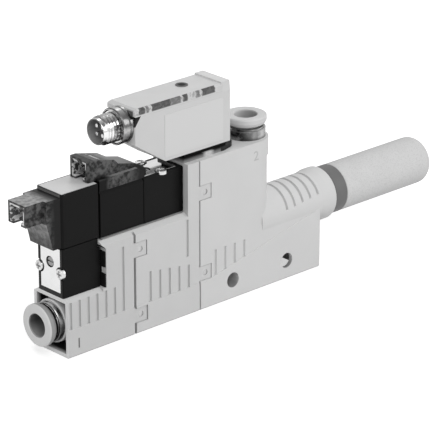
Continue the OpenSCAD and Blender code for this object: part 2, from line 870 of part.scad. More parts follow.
module supply_plug() { color("dimgray") upright_valve() upright_plug(); }
module supply_plug_pins() { color("silver") upright_valve() upright_plug_pins(); }
module pulse_valve_body() { color("#1c1c1c") lying_valve() valve_body(); }
module pulse_valve_coil() { color("#202020") lying_valve() valve_coil(); }
module pulse_valve_plate() { color("white") lying_valve() valve_plate(); }
module pulse_valve_override() { color("dimgray") lying_valve() valve_override(); }
module pulse_valve_screws() { color("silver") lying_valve() valve_screws(); }

module pulse_valve_seal() {
    color("black")
        lying_valve()
            valve_seal(valve_w / 2 - body_side, seal_end, valve_l - seal_end, false);
}

module pulse_plug() { color("dimgray") lying_valve() lying_plug(); }
module pulse_plug_pins() { color("silver") lying_valve() lying_plug_pins(); }

// ---- Vacuum switch ----

// The connector's nose goes through the end of the case and of the cover.
module nose_bore() {
    rod_x(switch_x0 - over, switch_x0 + nose_in + seat, 0, connector_z, nose_tail_r + fit);
}

module switch_case() {
    x0 = switch_x0;
    x1 = switch_x1;
    z = switch_z;
    y = switch_w / 2;
    color("gainsboro")
        in_frame()
            difference() {
                union() {
                    slab_y([[x0 + 10.4, z], [x1, z], [x1, cover_z], [x0 + 2, cover_z],
                            [x0, cover_z - 2.7], [x0, z + 6.8]], -y, y);
                    slab_x([[-y, z], [y, z], [y, cover_z], [y - 0.3, z + switch_h],
                            [-y + 0.3, z + switch_h], [-y, cover_z]], x1 - cap_l, x1);
                }
                nose_bore();
            }
}

function cover_section(inset) =
    let (y = switch_w / 2 - inset, top = cover_z + cover_h - inset, c = cover_edge)
    [[-y, cover_z], [-y, top - c], [-y + c, top], [y - c, top], [y, top - c], [y, cover_z]];

module switch_cover() {
    x0 = switch_x0;
    x1 = switch_x1 - cap_l;
    top = cover_z + cover_h;
    color("aliceblue", 0.4)
        in_frame()
            difference() {
                intersection() {
                    slab_x(cover_section(0.05), x0, x1);
                    slab_y([[x0 + 0.2, cover_z], [x1, cover_z], [x1, top], [x0 + 1, top],
                            [x0, top - 0.8], [x0, cover_z + 0.2]], -switch_w, switch_w);
                }
                translate([0, 0, -0.01])
                    slab_x(cover_section(cover_wall), x0 + cover_lip, x1 - 0.4);
                rod_z(key_x, key_y, cover_z - over, top + over, key_d / 2 + fit);
                nose_bore();
            }
}

// Circuit board with its display and parts along the near edge.
module switch_board() {
    x0 = switch_x0 + nose_in + 0.4;
    x1 = switch_x1 - cap_l - 1.2;
    y = switch_w / 2 - cover_wall - 0.9;
    board_t = 0.5;
    z = cover_z + board_t;
    color("#303030")
        in_frame() {
            block([x0, x1], [-y, y], [cover_z, z]);
            for (p = [[2.1, 6.5], [8.8, 3.2], [12.9, 1.8], [17.1, 1.5], [19.6, 4.4]])
                block([x0 + p[0], x0 + p[0] + p[1]], [-y + 0.1, -y + 1.7], [z - 0.1, z + 0.6]);
            block([x0 + 0.6, x0 + 10.2], [-0.9, 2.8], [z - 0.1, z + 0.5]);
        }
}

module switch_key() {
    z = cover_z + 0.5 + key_travel + 0.05;
    color("#282828")
        in_frame() rod_z(key_x, key_y, z, cover_z + cover_h + key_proud, key_d / 2);
}

module switch_label() {
    y = -switch_w / 2;
    color("whitesmoke")
        in_frame() block([switch_x0 + label_start, switch_x1 - label_end], [y - label_t, y],
                         [switch_z + label_low, switch_z + label_high]);
}

// Foot plate of the switch, with a round end under its screw.
module switch_foot() {
    x0 = ejector_x - column_t;
    r = foot_r;
    x1 = switch_x1 + r;
    y = switch_w / 2 - foot_side;
    color("darkgray")
        in_frame()
            difference() {
                slab_z(concat([[x0, y], [x0, -y], [x1 - r - 2, -y]],
                              arc([x1 - r, -y + r + foot_bend], r, -70, 0, 8),
                              arc([x1 - r, y - r - foot_bend], r, 0, 70, 8), [[x1 - r - 2, y]]),
                       tower_h, tower_h + foot_t);
                rod_z(ejector_x + passage_x, 0, tower_h - over, tower_h + foot_t + over, 1);
                rod_z(switch_x1 + foot_screw_x, 0, tower_h - over, tower_h + foot_t + over, 0.9);
            }
}

module switch_seal() {
    y = switch_w / 2 - seal_side;
    color("black")
        in_frame()
            difference() {
                block([ejector_x - column_t + seal_inset, switch_x1 - seal_inset], [-y, y],
                      [tower_h + foot_t, switch_z]);
                rod_z(ejector_x + passage_x, 0, tower_h, switch_z + over, 1);
            }
}

module switch_screw() {
    x = switch_x1 + foot_screw_x;
    z = tower_h + foot_t;
    color("silver")
        in_frame()
            difference() {
                union() {
                    rod_z(x, 0, z, z + 0.9, 1.4);
                    rod_z(x, 0, tower_h - 3.8, z + 0.1, 0.8);
                }
                block([x - 0.9, x + 0.9], [-cross_w / 2, cross_w / 2], [z + 0.4, z + over + 1]);
                block([x - cross_w / 2, x + cross_w / 2], [-0.9, 0.9], [z + 0.4, z + over + 1]);
            }
}

// Round connector: its nose sits in the case, and the threaded sleeve in the nose.
module connector_nose() {
    x = switch_x0;
    color("darkgray")
        in_frame()
            turned_x([[x - nose_l + 0.4, 4.3], [x - nose_l, 4.6], [x - nose_l, nose_r - 0.3],
                      [x - nose_l + 0.3, nose_r], [x - 1.2, nose_r], [x - 1.2, nose_r - 0.4],
                      [x - 0.7, nose_r - 0.4], [x - 0.7, nose_r], [x, nose_r],
                      [x, nose_tail_r], [x + nose_in, nose_tail_r],
                      [x + nose_in, thread_d / 2 + 0.02],
                      [x - nose_l + 0.4, thread_d / 2 + 0.02]],
                     connector_z);
}

module connector_sleeve() {
    face = switch_x0 - nose_l;
    x0 = face - thread_l;
    x1 = switch_x0 + 4;
    r = thread_d / 2;
    color("silver")
        in_frame()
            turned_x([[x0, socket_r], [x0, r - 0.5], [x0 + 0.5, r], [face - undercut, r],
                      [face - undercut, r - 0.35], [face + 0.1, r - 0.35], [face + 0.1, r],
                      [x1, r], [x1, socket_r]], connector_z);
}

module connector_insert() {
    x0 = switch_x0 - nose_l - thread_l;
    color("#202020")
        in_frame()
            difference() {
                rod_x(x0 + socket_depth, switch_x0 + 4, 0, connector_z, socket_r - 0.02);
                rod_x(x0 + socket_depth - over, x0 + socket_depth + 3, 0,
                      connector_z + socket_r - 0.6, 0.5);
                for (a = [45 : 90 : 315])
                    rod_x(x0 + socket_depth - over, x0 + socket_depth + 3,
                          1.6 * cos(a), connector_z + 1.6 * sin(a), 0.5 + 0.01);
            }
}

module connector_pins() {
    x0 = switch_x0 - nose_l - thread_l;
    color("gold")
        in_frame()
            for (a = [45 : 90 : 315])
                rod_x(x0 + 1.4, x0 + socket_depth + 3, 1.6 * cos(a),
                      connector_z + 1.6 * sin(a), 0.5);
}

supply_module();
middle_module();
ejector_body();
link_pins();
supply_release_ring();
supply_collar();
supply_collet();
supply_hose_seal();
vacuum_release_ring();
vacuum_collar();
vacuum_collet();
vacuum_hose_seal();
jet_nozzle();
receiver_nozzle();
nozzle_seal();
exhaust_collar();
silencer();
supply_valve_body();
supply_valve_coil();
supply_valve_plate();
supply_valve_override();
supply_valve_screws();
supply_valve_seal();
supply_valve_label();
supply_plug();
supply_plug_pins();
pulse_valve_body();
pulse_valve_coil();
pulse_valve_plate();
pulse_valve_override();
pulse_valve_screws();
pulse_valve_seal();
pulse_plug();
pulse_plug_pins();
switch_case();
switch_cover();
switch_board();
switch_key();
switch_label();
switch_foot();
switch_seal();
switch_screw();
connector_nose();
connector_sleeve();
connector_insert();
connector_pins();
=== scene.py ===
# %% [markdown]
# # Dressing a vacuum ejector
# The solid model of this part is exact but plain. In this lesson its pieces get the finish of
# the real thing: moulded grain on the grey housings, porous grain on the silencer, a cut thread
# on the round connector, smoky plugs and a clear cover. The first cell loads the solid model,
# which is never moved; nearly everything else is placed by asking it where its pieces are.

# %% Load the solid model
import math

import bmesh
import bpy
import numpy as np
from mathutils import Matrix, Vector


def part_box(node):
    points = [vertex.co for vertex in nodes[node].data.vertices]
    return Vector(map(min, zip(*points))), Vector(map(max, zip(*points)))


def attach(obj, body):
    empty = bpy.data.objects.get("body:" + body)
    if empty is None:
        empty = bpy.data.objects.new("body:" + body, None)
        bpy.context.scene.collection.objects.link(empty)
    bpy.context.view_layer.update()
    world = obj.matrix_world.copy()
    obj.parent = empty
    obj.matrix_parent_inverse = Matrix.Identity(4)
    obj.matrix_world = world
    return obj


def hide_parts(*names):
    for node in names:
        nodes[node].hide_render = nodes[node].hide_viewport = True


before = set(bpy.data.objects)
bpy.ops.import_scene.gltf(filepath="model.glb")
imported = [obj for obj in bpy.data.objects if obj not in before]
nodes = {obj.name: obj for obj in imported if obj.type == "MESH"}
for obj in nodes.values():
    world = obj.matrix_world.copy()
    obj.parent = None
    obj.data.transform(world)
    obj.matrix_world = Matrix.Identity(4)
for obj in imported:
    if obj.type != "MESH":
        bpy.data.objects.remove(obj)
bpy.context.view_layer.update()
MM = 0.001


# %% [markdown]
# ## Camera
# The row is seen from above its supply end, turned by about 43 degrees, through a long lens.
# A long lens keeps parallel edges nearly parallel, so the far end of the row isn't squeezed.
# The camera is turned by its three axes: to the right, up, and backwards.

# %% Place the camera
TURN = math.radians(42.777)
TILT = math.radians(21.937)
CAMERA_AT = Vector((-469.10, -521.50, 307.51)) * MM
LENS = 233.33
FILM_WIDTH = 36

right = Vector((math.cos(TURN), -math.sin(TURN), 0))
ahead = Vector((math.sin(TURN) * math.cos(TILT), math.cos(TURN) * math.cos(TILT),
                -math.sin(TILT)))
up = right.cross(ahead)

camera = bpy.data.objects.new("camera", bpy.data.cameras.new("camera"))
bpy.context.scene.collection.objects.link(camera)
camera.matrix_world = Matrix.Translation(CAMERA_AT) @ Matrix(
    (right, up, -ahead)).transposed().to_4x4()
camera.data.sensor_width = FILM_WIDTH
camera.data.lens = LENS
camera.data.clip_start = 0.01
camera.data.clip_end = 20
bpy.context.scene.camera = camera
bpy.context.scene.view_settings.view_transform = "Standard"
print("camera is", round(CAMERA_AT.length, 3), "m from the origin")


# %% [markdown]
# ## Writing materials as arithmetic
# A material is a network of nodes, and long networks are hard to read as code. `Wire` stands
# for one output of a node. Adding or multiplying wires makes the Math node that does it, so a
# pattern can be written as an ordinary formula.

# %% Wires
class Wire:
    """One output socket of a node, with arithmetic."""

    def __init__(self, finish, socket):
        self.finish = finish
        self.socket = socket

    def _math(self, operation, first, second):
        return self.finish.node("ShaderNodeMath", {"operation": operation},
                                {0: first, 1: second})

    def __add__(self, other):
        return self._math("ADD", self, other)

    __radd__ = __add__

    def __sub__(self, other):
        return self._math("SUBTRACT", self, other)

    def __rsub__(self, other):
        return self._math("SUBTRACT", other, self)

    def __mul__(self, other):
        return self._math("MULTIPLY", self, other)

    __rmul__ = __mul__

    def __gt__(self, other):
        return self._math("GREATER_THAN", self, other)

    def __lt__(self, other):
        return self._math("LESS_THAN", self, other)


print("wires are ready")


# %% [markdown]
# ## A class for finishes
# `Finish` is a material with one Principled shader. Its `node` method makes any kind of node,
# and the short methods after it are the patterns that this lesson uses: noise, a coordinate,
# the way the surface looks, the distance from an axis. `tone` sets the colour, and each `patch`
# after it lays a grey over a part of it, which a formula picks out.

# %% Finishes
def grey(level):
    """A grey as it is seen on screen, from 0 to 255."""
    linear = (level / 255) ** 2.2
    return (linear, linear, linear)


class Finish:
    """A material around one Principled shader, fed by wires."""

    def __init__(self, name, color, roughness, **fixed):
        self.material = bpy.data.materials.new(name)
        self.material.use_nodes = True
        self.tree = self.material.node_tree
        self.tree.nodes.clear()
        self.shader = self.tree.nodes.new("ShaderNodeBsdfPrincipled")
        output = self.tree.nodes.new("ShaderNodeOutputMaterial")
        self.tree.links.new(self.shader.outputs[0], output.inputs["Surface"])
        self.place = self.node("ShaderNodeTexCoord", out="Object")
        self.set("Base Color", color)
        self.set("Roughness", roughness)
        for socket, value in fixed.items():
            self.set(socket.replace("_", " "), value)

    def node(self, kind, settings=None, values=None, out=0):
        """Makes a node: its settings first, then the values or wires of its sockets."""
        made = self.tree.nodes.new(kind)
        for key, value in (settings or {}).items():
            if key == "stops":
                ramp = made.color_ramp.elements
                while len(ramp) < len(value):
                    ramp.new(0.5)
                for stop, (position, shade) in zip(ramp, value):
                    stop.position = position
                    stop.color = (*shade, 1)
            else:
                setattr(made, key, value)
        for key, value in (values or {}).items():
            self.plug(made.inputs[key], value)
        return Wire(self, made.outputs[out])

    def plug(self, socket, value):
        """Feeds a socket with a wire, a number or a colour."""
        if isinstance(value, Wire):
            self.tree.links.new(value.socket, socket)
        elif socket.type == "RGBA":
            socket.default_value = (*value, 1)
        else:
            socket.default_value = value

    def set(self, socket, value):
        """Feeds a socket of the Principled shader."""
        self.plug(self.shader.inputs[socket], value)

    def noise(self, size, detail=2.0):
        """Noise from 0 to 1 whose patches are about that size, in metres."""
        return self.node("ShaderNodeTexNoise", {}, {
            "Vector": self.place, "Scale": 1 / size, "Detail": detail, "Roughness": 0.55})

    def axis(self, name):
        """One coordinate of the piece, in metres."""
        return self.node("ShaderNodeSeparateXYZ", {}, {0: self.place}, out=name)

    def facing(self, name):
        """How far the surface looks along that axis, from -1 to 1."""
        normal = self.node("ShaderNodeTexCoord", out="Normal")
        return self.node("ShaderNodeSeparateXYZ", {}, {0: normal}, out=name)

    def size_of(self, value):
        """The value without its sign."""
        return self.node("ShaderNodeMath", {"operation": "ABSOLUTE"}, {0: value})

    def off_axis(self, along, centre):
        """Distance from a line along that axis, through the centre given by the other two."""
        squares = [(self.axis(name) - at) * (self.axis(name) - at)
                   for name, at in zip("XYZ".replace(along, ""), centre)]
        return self.node("ShaderNodeMath", {"operation": "SQRT"}, {0: squares[0] + squares[1]})

    def rise(self, value, start, end):
        """Goes from 0 to 1 while the value goes from start to end."""
        return self.node("ShaderNodeMapRange", {}, {
            "Value": value, "From Min": start, "From Max": end})

    def mix(self, share, first, second):
        """A colour between two others."""
        made = self.tree.nodes.new("ShaderNodeMix")
        made.data_type = "RGBA"
        self.plug(made.inputs["Factor"], share)
        self.plug(made.inputs[6], first)
        self.plug(made.inputs[7], second)
        return Wire(self, made.outputs[2])

    def tone(self, wire):
        """Sets the colour, and remembers it so that a patch can cover parts of it."""
        self.look = wire
        self.set("Base Color", wire)

    def patch(self, share, level):
        """Covers the colour with a grey, as far as the share goes."""
        self.tone(self.mix(share, self.look, grey(level)))

    def bump(self, height, depth):
        """Raises the surface by that depth, in metres, where the height is 1."""
        self.set("Normal", self.node("ShaderNodeBump", {}, {
            "Height": height, "Strength": 1.0, "Distance": depth}))


print("finishes are ready")


# %% [markdown]
# ## Moulded plastics
# The housings are injection moulded in a mould with a fine eroded texture. Up close such a
# surface is a field of shallow pits about a tenth of a millimetre across, and its colour
# wanders a little over centimetres. Two layers of noise give both: the fine one goes to the
# bump and the roughness, the coarse one to the colour. The dull plastics mirror less, because
# a bright room would turn a black one grey.

# %% Grained plastic
DRIFT_SIZE = 9 * MM
ROUGHNESS_SWING = 0.12


def grained(name, color, roughness, grain=0.12 * MM, depth=0.006 * MM, drift=0.03, **fixed):
    """Moulded plastic with an eroded grain."""
    finish = Finish(name, color, roughness, **fixed)
    fine = finish.noise(grain, detail=3)
    broad = finish.noise(DRIFT_SIZE, detail=1)
    darker = [c * (1 - drift) for c in color]
    lighter = [min(1, c * (1 + drift)) for c in color]
    finish.tone(finish.mix(broad, darker, lighter))
    finish.set("Roughness", roughness + (fine - 0.5) * ROUGHNESS_SWING)
    finish.bump(fine, depth)
    return finish


MATTE = {"Specular_IOR_Level": 0.2}
DULL = {"Specular_IOR_Level": 0.06}
supply_plastic = grained("supply_plastic", grey(199), 0.6, **MATTE)
middle_plastic = grained("middle_plastic", grey(203), 0.6, **MATTE)
ejector_plastic = grained("ejector_plastic", grey(208), 0.6, **MATTE)
rim_plastic = grained("rim_plastic", grey(199), 0.6, **MATTE)
mark_plastic = grained("mark_plastic", grey(104), 0.5, **MATTE)
faint_mark_plastic = grained("faint_mark_plastic", grey(186), 0.5, **MATTE)
switch_plastic = grained("switch_plastic", grey(203), 0.5, depth=0.004 * MM, **MATTE)
valve_plastic = grained("valve_plastic", grey(28), 0.5, grain=0.16 * MM, drift=0.10, **DULL)
collar_plastic = grained("collar_plastic", grey(108), 0.5, drift=0.02, **MATTE)
foot_plastic = grained("foot_plastic", grey(70), 0.4, drift=0.03, **DULL)
button_plastic = grained("button_plastic", grey(165), 0.35, depth=0.002 * MM)
key_plastic = grained("key_plastic", grey(34), 0.5, depth=0.004 * MM, **DULL)
insert_plastic = grained("insert_plastic", grey(180), 0.5, drift=0.2, **DULL)
film = grained("film", grey(209), 0.4, grain=0.4 * MM, depth=0.001 * MM, drift=0.008, **MATTE)
print("moulded plastics made")


# %% [markdown]
# ## Painted light on tops, painted shade on ends
# A housing under soft light isn't one even grey: its upward faces look paler, its faces towards
# the supply end darker, and the thin front edge of the supply housing's frame palest of all.
# Here that light and shade are painted into the colour: painted light on the tops and the
# frame's edge, painted shade on the ends. Where a surface looks is known at every point, so
# each rule is a share that rises as the surface turns that way.

# %% Painted light on tops and painted shade on ends
UPWARDS = (0.6, 0.95)
TOWARDS_SUPPLY = (-0.4, -0.7)
SQUARE_TO_SUPPLY = -0.8
FRAME_EDGE = 0.1 * MM
row_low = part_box("supply_module")[0]
for plastic, lit_top_level, shaded_end_level in ((supply_plastic, 209, 174), (middle_plastic, 205, 176),
                                      (ejector_plastic, 212, 198), (switch_plastic, 216, 203)):
    # Painted light on the upward faces and painted shade on the faces towards the supply end.
    plastic.patch(plastic.rise(plastic.facing("Z"), *UPWARDS), lit_top_level)
    plastic.patch(plastic.rise(plastic.facing("X"), *TOWARDS_SUPPLY), shaded_end_level)
# A painted highlight on the thin front edge of the supply housing's frame.
frame_edge_highlight = (supply_plastic.facing("X") < SQUARE_TO_SUPPLY) * \
    (supply_plastic.axis("X") < row_low.x + FRAME_EDGE)
supply_plastic.patch(frame_edge_highlight, 224)
print("tops and ends toned")


# %% [markdown]
# ## Painted shade in hollows
# A narrow hollow catches little light. The pocket round the supply fitting, the gap under the
# nose that holds the valve, the floors of the two screw holes and the sloping end of the case
# under the clear cover get painted shade, darker than the skin. Each rule is a product of
# comparisons on the coordinates and on the way the surface looks, so it needs no image.

# %% Painted shade in hollows
POCKET_HALF = 5.95 * MM
POCKET_FLOOR = 1.05 * MM
POCKET_TOP = 15.35 * MM
POCKET_DEPTH = 7.2 * MM
POCKET_FADE = (0.1 * MM, 1.6 * MM)
# Painted shade in the pocket round the supply fitting.
into_pocket = supply_plastic.axis("X") - row_low.x
pocket_shade = supply_plastic.rise(into_pocket, *POCKET_FADE) * (into_pocket < POCKET_DEPTH) * \
    (supply_plastic.size_of(supply_plastic.axis("Y")) < POCKET_HALF) * \
    (supply_plastic.axis("Z") > POCKET_FLOOR) * (supply_plastic.axis("Z") < POCKET_TOP)
supply_plastic.patch(pocket_shade, 40)

NOSE_REACH = 2.5 * MM
NOSE_DROP = 0.5 * MM
seal_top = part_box("supply_valve_seal")[1]
# Painted shade under the nose that holds the valve.
under_nose_shade = (supply_plastic.facing("Z") < -0.2) * \
    (supply_plastic.size_of(supply_plastic.axis("X") - seal_top.x) < NOSE_REACH) * \
    (supply_plastic.axis("Z") > seal_top.z - NOSE_DROP)
supply_plastic.patch(under_nose_shade, 10)

SCREW_HOLES_X = (12.5 * MM, 32.7 * MM)
SCREW_HOLE_Z = 5.6 * MM
SCREW_HOLE_R = 2.2 * MM
# Painted shade on the floors of the two screw holes.
bore_floor = ejector_plastic.rise(ejector_plastic.facing("Z"), -0.3, 0.7)
for hole_x in SCREW_HOLES_X:
    hole_shade = ejector_plastic.off_axis("Y", (hole_x, SCREW_HOLE_Z)) < SCREW_HOLE_R
    ejector_plastic.patch(hole_shade * bore_floor, 146)

# Painted shade on the case's sloping end under the clear cover.
cover_slope_shade = (switch_plastic.facing("X") < -0.3) * (switch_plastic.facing("Z") > 0.3)
switch_plastic.patch(cover_slope_shade, 58)
print("dark hollows made")


# %% [markdown]
# ## Painted light and shade on the valves, the key and the foot
# Black plastic shows its shape only by small steps of grey, and here these steps are painted
# light and shade. The valves' faces that look towards the supply end are painted paler above
# the plug and beside the bright plate, and the far end of the lying valve is painted black for
# the shade of the tower. The key of the switch is a dished button, with painted shade in its
# middle and painted light at its rim. The foot under the switch carries painted shade from the
# switch: it gets paler towards the housing that it stands on, with a painted highlight halfway
# along, and it is darker at its end.

# %% Valves, key and foot
# Painted light on the valves' end faces above the plug and beside the plate, and painted shade
# over the far end of the lying valve.
end_face = valve_plastic.facing("X") < SQUARE_TO_SUPPLY
above_plug = valve_plastic.axis("Z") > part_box("supply_plug")[1].z
beside_plate = valve_plastic.axis("Z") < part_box("supply_valve_plate")[1].z
valve_plastic.patch(end_face * above_plug, 104)
valve_plastic.patch(end_face * beside_plate, 58)
lying_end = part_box("pulse_valve_body")[1].x
IN_SHADE = (lying_end - 4 * MM, lying_end - 0.5 * MM)
valve_plastic.patch(valve_plastic.rise(valve_plastic.axis("X"), *IN_SHADE), 6)

key_low, key_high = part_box("switch_key")
KEY_R = (key_high.x - key_low.x) / 2
KEY_DISH = (0.45 * KEY_R, 0.95 * KEY_R)
key_at = ((key_low.x + key_high.x) / 2, (key_low.y + key_high.y) / 2)
# Painted shade in the middle of the key's dish and painted light on its rim.
lit_key_rim = key_plastic.rise(key_plastic.off_axis("Z", key_at), *KEY_DISH)
key_plastic.tone(key_plastic.mix(lit_key_rim, grey(18), grey(112)))

foot_low, foot_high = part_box("switch_foot")
FOOT_GLINT = foot_low.x + 8.9 * MM
GLINT_FADE = (2.2 * MM, 0.8 * MM)
FOOT_DARK_FROM = foot_low.x + 13.3 * MM
# Painted shade from the switch above, fading down the foot, with a painted highlight halfway
# along; the end of the foot is darker.
under_switch_shade = foot_plastic.rise(foot_plastic.axis("Z"), foot_high.z, foot_low.z)
painted_glint = foot_plastic.rise(foot_plastic.size_of(foot_plastic.axis("X") - FOOT_GLINT),
                          *GLINT_FADE)
foot_plastic.tone(foot_plastic.mix(under_switch_shade, grey(44), grey(150)))
foot_plastic.patch(painted_glint, 196)
foot_plastic.patch(foot_plastic.axis("X") > FOOT_DARK_FROM, 52)
print("valves, key and foot toned; key radius in mm:", round(KEY_R / MM, 2))


# %% [markdown]
# ## Release rings
# The two release rings are the same smooth moulding, one looking along the row and one up.
# Each gets painted shade down its bore, paler on the side of the bore that the light falls on,
# and painted shade on its side, so one function makes both, told which way the ring looks and
# where its light comes from.

# %% Ring plastic
BORE_R = 3.3 * MM
BORE_FADE = (-0.2 * MM, 2.5 * MM)
LIT_SIDE = {"Z": (0.0, 1.0), "X": (-1.0, 0.4)}


def ring_finish(name, node, along, inwards, shades, light_from, side_shade_level):
    """Smooth plastic for a release ring, with painted shade down its bore and on its side, and
    painted light on the bore's lit side.
    """
    low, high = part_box(node)
    middle = (low + high) / 2
    centre = [getattr(middle, axis.lower()) for axis in "XYZ".replace(along, "")]
    mouth = getattr(high if inwards < 0 else low, along.lower())
    finish = grained(name, grey(208), 0.42, depth=0.003 * MM, drift=0.015, **MATTE)
    # Painted shade on the ring's side, which turns away from its front.
    finish.patch(finish.rise(inwards * finish.facing(along), -0.4, 0.05), side_shade_level)
    # Painted shade down the bore, paler where the light falls in.
    bore = finish.off_axis(along, centre) < BORE_R
    deep = finish.rise(inwards * (finish.axis(along) - mouth), *BORE_FADE)
    lit = finish.rise(finish.facing(light_from), *LIT_SIDE[light_from])
    shade = finish.mix(lit, *[grey(level) for level in shades])
    finish.tone(finish.mix(bore * (0.8 + 0.2 * deep), finish.look, shade))
    return finish


ring_plastic_x = ring_finish("ring_plastic_x", "supply_release_ring", "X", 1,
                             (86, 150), "Z", 136)
ring_plastic_z = ring_finish("ring_plastic_z", "vacuum_release_ring", "Z", -1,
                             (154, 206), "X", 203)
print("release rings toned")


# %% [markdown]
# ## The clear cover
# The cover of the switch is milky on top. Its near wall is clear, and thick plastic spreads
# what lies behind it over its whole height; that view is painted into the wall's colour: a
# mottled grey for the dark inside, and the parts on the board, each given by where it starts
# and how long it is, in millimetres, and by how light it looks. The end wall by the connector
# gets one painted dark patch in the same way, for the shade seen through it. A slow noise
# shifts and mottles the edges of these painted shapes.

# %% Clear plastic
def clear(name, color, roughness, through, ripple, **fixed):
    """Plastic that lets a share of the light through and scatters the rest."""
    finish = Finish(name, color, roughness, IOR=1.5, Transmission_Weight=through, **fixed)
    finish.bump(finish.noise(1.6 * MM, detail=1), ripple)
    return finish


cover_plastic = clear("cover_plastic", grey(226), 0.35, 0.2, 0.01 * MM)
cover_low, cover_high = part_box("switch_cover")
ABOVE_EDGE = (cover_low.z + 0.25 * MM, cover_low.z + 0.5 * MM)
SHORT_OF_END = (cover_high.x - 2.5 * MM, cover_high.x - 4 * MM)
mottled = cover_plastic.rise(cover_plastic.noise(0.7 * MM, detail=3), 0.46, 0.66)
wall = (cover_plastic.facing("Y") < -0.3) * \
    cover_plastic.rise(cover_plastic.axis("Z"), *ABOVE_EDGE)
before_end = cover_plastic.rise(cover_plastic.axis("X"), *SHORT_OF_END)
cover_plastic.tone(cover_plastic.mix(cover_plastic.noise(7 * MM), grey(212), grey(224)))
# The near wall gets a painted mottled grey for the dark inside seen through it.
cover_plastic.patch(wall * mottled * before_end, 164)
print("clear plastic made")

# %% Parts behind the wall, painted on it
BEHIND_WALL = [(1.4, 2.1, 84), (3.9, 0.9, 130), (5.9, 6.6, 82), (12.5, 3.4, 128),
               (16.7, 1.7, 84), (21.3, 1.3, 132), (23.4, 4.6, 88)]
SOFT_EDGE = 0.15 * MM
EDGE_SHIFT = 0.9 * MM
blur = (cover_plastic.noise(0.8 * MM, detail=2) - 0.5) * EDGE_SHIFT
along_wall = cover_plastic.axis("X") - cover_low.x + blur
# Each part on the board is painted on the wall where it shows through.
for start, length, level in BEHIND_WALL:
    half = length / 2 * MM
    from_middle = cover_plastic.size_of(along_wall - (start * MM + half))
    painted_through = wall * cover_plastic.rise(from_middle, half + SOFT_EDGE, half - SOFT_EDGE)
    part = cover_plastic.mix(mottled, grey(level - 20), grey(level + 12))
    cover_plastic.tone(cover_plastic.mix(painted_through, cover_plastic.look, part))

PATCH_FROM_Y = (-4.9 * MM, -4.5 * MM)
PATCH_TO_Y = (0.6 * MM, -0.8 * MM)
PATCH_TOP = (cover_high.z - 0.4 * MM, cover_high.z - 0.8 * MM)
# A painted dark patch on the end wall, for the shade seen through it.
end_wall = (cover_plastic.facing("X") < -0.5) * \
    cover_plastic.rise(cover_plastic.axis("Y"), *PATCH_FROM_Y) * \
    cover_plastic.rise(cover_plastic.axis("Y"), *PATCH_TO_Y) * \
    cover_plastic.rise(cover_plastic.axis("Z"), *PATCH_TOP)
end_shade = cover_plastic.mix(mottled, grey(84), grey(116))
cover_plastic.tone(cover_plastic.mix(end_wall, cover_plastic.look, end_shade))
print("parts that show through the wall:", len(BEHIND_WALL))


# %% [markdown]
# ## The smoky plugs
# The plugs are moulded in a smoky grey, and their light and shade are painted into it. Their
# faces turned up or down are painted paler than their sides. They are painted darker towards
# the black valves, because one sees the black through them, and their mouths are painted dark
# with bright flecks, because the contacts and their slots catch the light. The lying plug's
# sloping back gets a painted highlight, and its hook, which grips the valve, is painted nearly
# black as shade.

# %% Smoky plastic
MOUTH_HALF_WIDTH = 2.8 * MM
MOUTH_HALF_HEIGHT = 2.4 * MM
MOUTH_DEPTH = 5 * MM


def middle_height(node):
    """The height of the middle of a solid."""
    low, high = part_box(node)
    return (low.z + high.z) / 2


def smoky(name, node, fade, lit_levels, mouth_levels):
    """Smoky plastic with painted lit tops, painted black over the last stretch before its
    valve, and painted light and shade in its mouth.
    """
    low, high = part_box(node)
    finish = clear(name, grey(92), 0.3, 0.12, 0.05 * MM, **DULL)
    cloud = finish.rise(finish.noise(1.3 * MM, detail=4), 0.40, 0.60)
    side = finish.mix(cloud, grey(44), grey(98))
    lit = finish.mix(cloud, *[grey(level) for level in lit_levels])
    # Faces turned up or down get a painted lit level, paler than the sides.
    turned = finish.rise(finish.size_of(finish.facing("Z")), 0.08, 0.3)
    finish.tone(finish.mix(turned, side, lit))
    # Painted darkening before the valve, for the black seen through.
    finish.patch(finish.rise(finish.axis("X"), high.x - fade, high.x - 0.4 * fade), 34)
    from_pins = finish.size_of(finish.axis("Z") - middle_height(node + "_pins"))
    mouth = (finish.size_of(finish.axis("Y")) < MOUTH_HALF_WIDTH) * \
        (finish.axis("X") < low.x + MOUTH_DEPTH) * (from_pins < MOUTH_HALF_HEIGHT)
    # Painted shade in the mouth, with painted bright flecks for the contacts.
    glint_fleck = finish.rise(finish.noise(1.5 * MM, detail=3), 0.46, 0.50)
    inside = finish.mix(glint_fleck, *[grey(level) for level in mouth_levels])
    finish.tone(finish.mix(mouth, finish.look, inside))
    return finish


smoky_upright = smoky("smoky_upright", "supply_plug", 4.6 * MM, (130, 172), (96, 236))
smoky_lying = smoky("smoky_lying", "pulse_plug", 7.5 * MM, (32, 66), (66, 206))
print("smoky plastics made")

# %% Back and hook of the lying plug
plug_low, plug_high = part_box("pulse_plug")
PALE_BACK = (5.5 * MM, 8 * MM)
HOOK_AT = 3.9 * MM
HOOK_FADE = (3.0 * MM, 1.2 * MM)
HOOK_BELOW = (plug_high.z - 4.3 * MM, plug_high.z - 6.1 * MM)
from_mouth = smoky_lying.axis("X") - plug_low.x
# A painted highlight on the lying plug's sloping back.
lit_back = smoky_lying.rise(smoky_lying.facing("Z"), 0.5, 0.9) * \
    smoky_lying.rise(from_mouth, *PALE_BACK)
smoky_lying.patch(lit_back, 140)
# Painted shade at the hook.
hook = smoky_lying.rise(smoky_lying.size_of(from_mouth - HOOK_AT), *HOOK_FADE) * \
    smoky_lying.rise(smoky_lying.axis("Z"), *HOOK_BELOW)
smoky_lying.patch(hook, 18)
print("hook is", round(HOOK_AT / MM, 1), "mm from the plug's mouth")


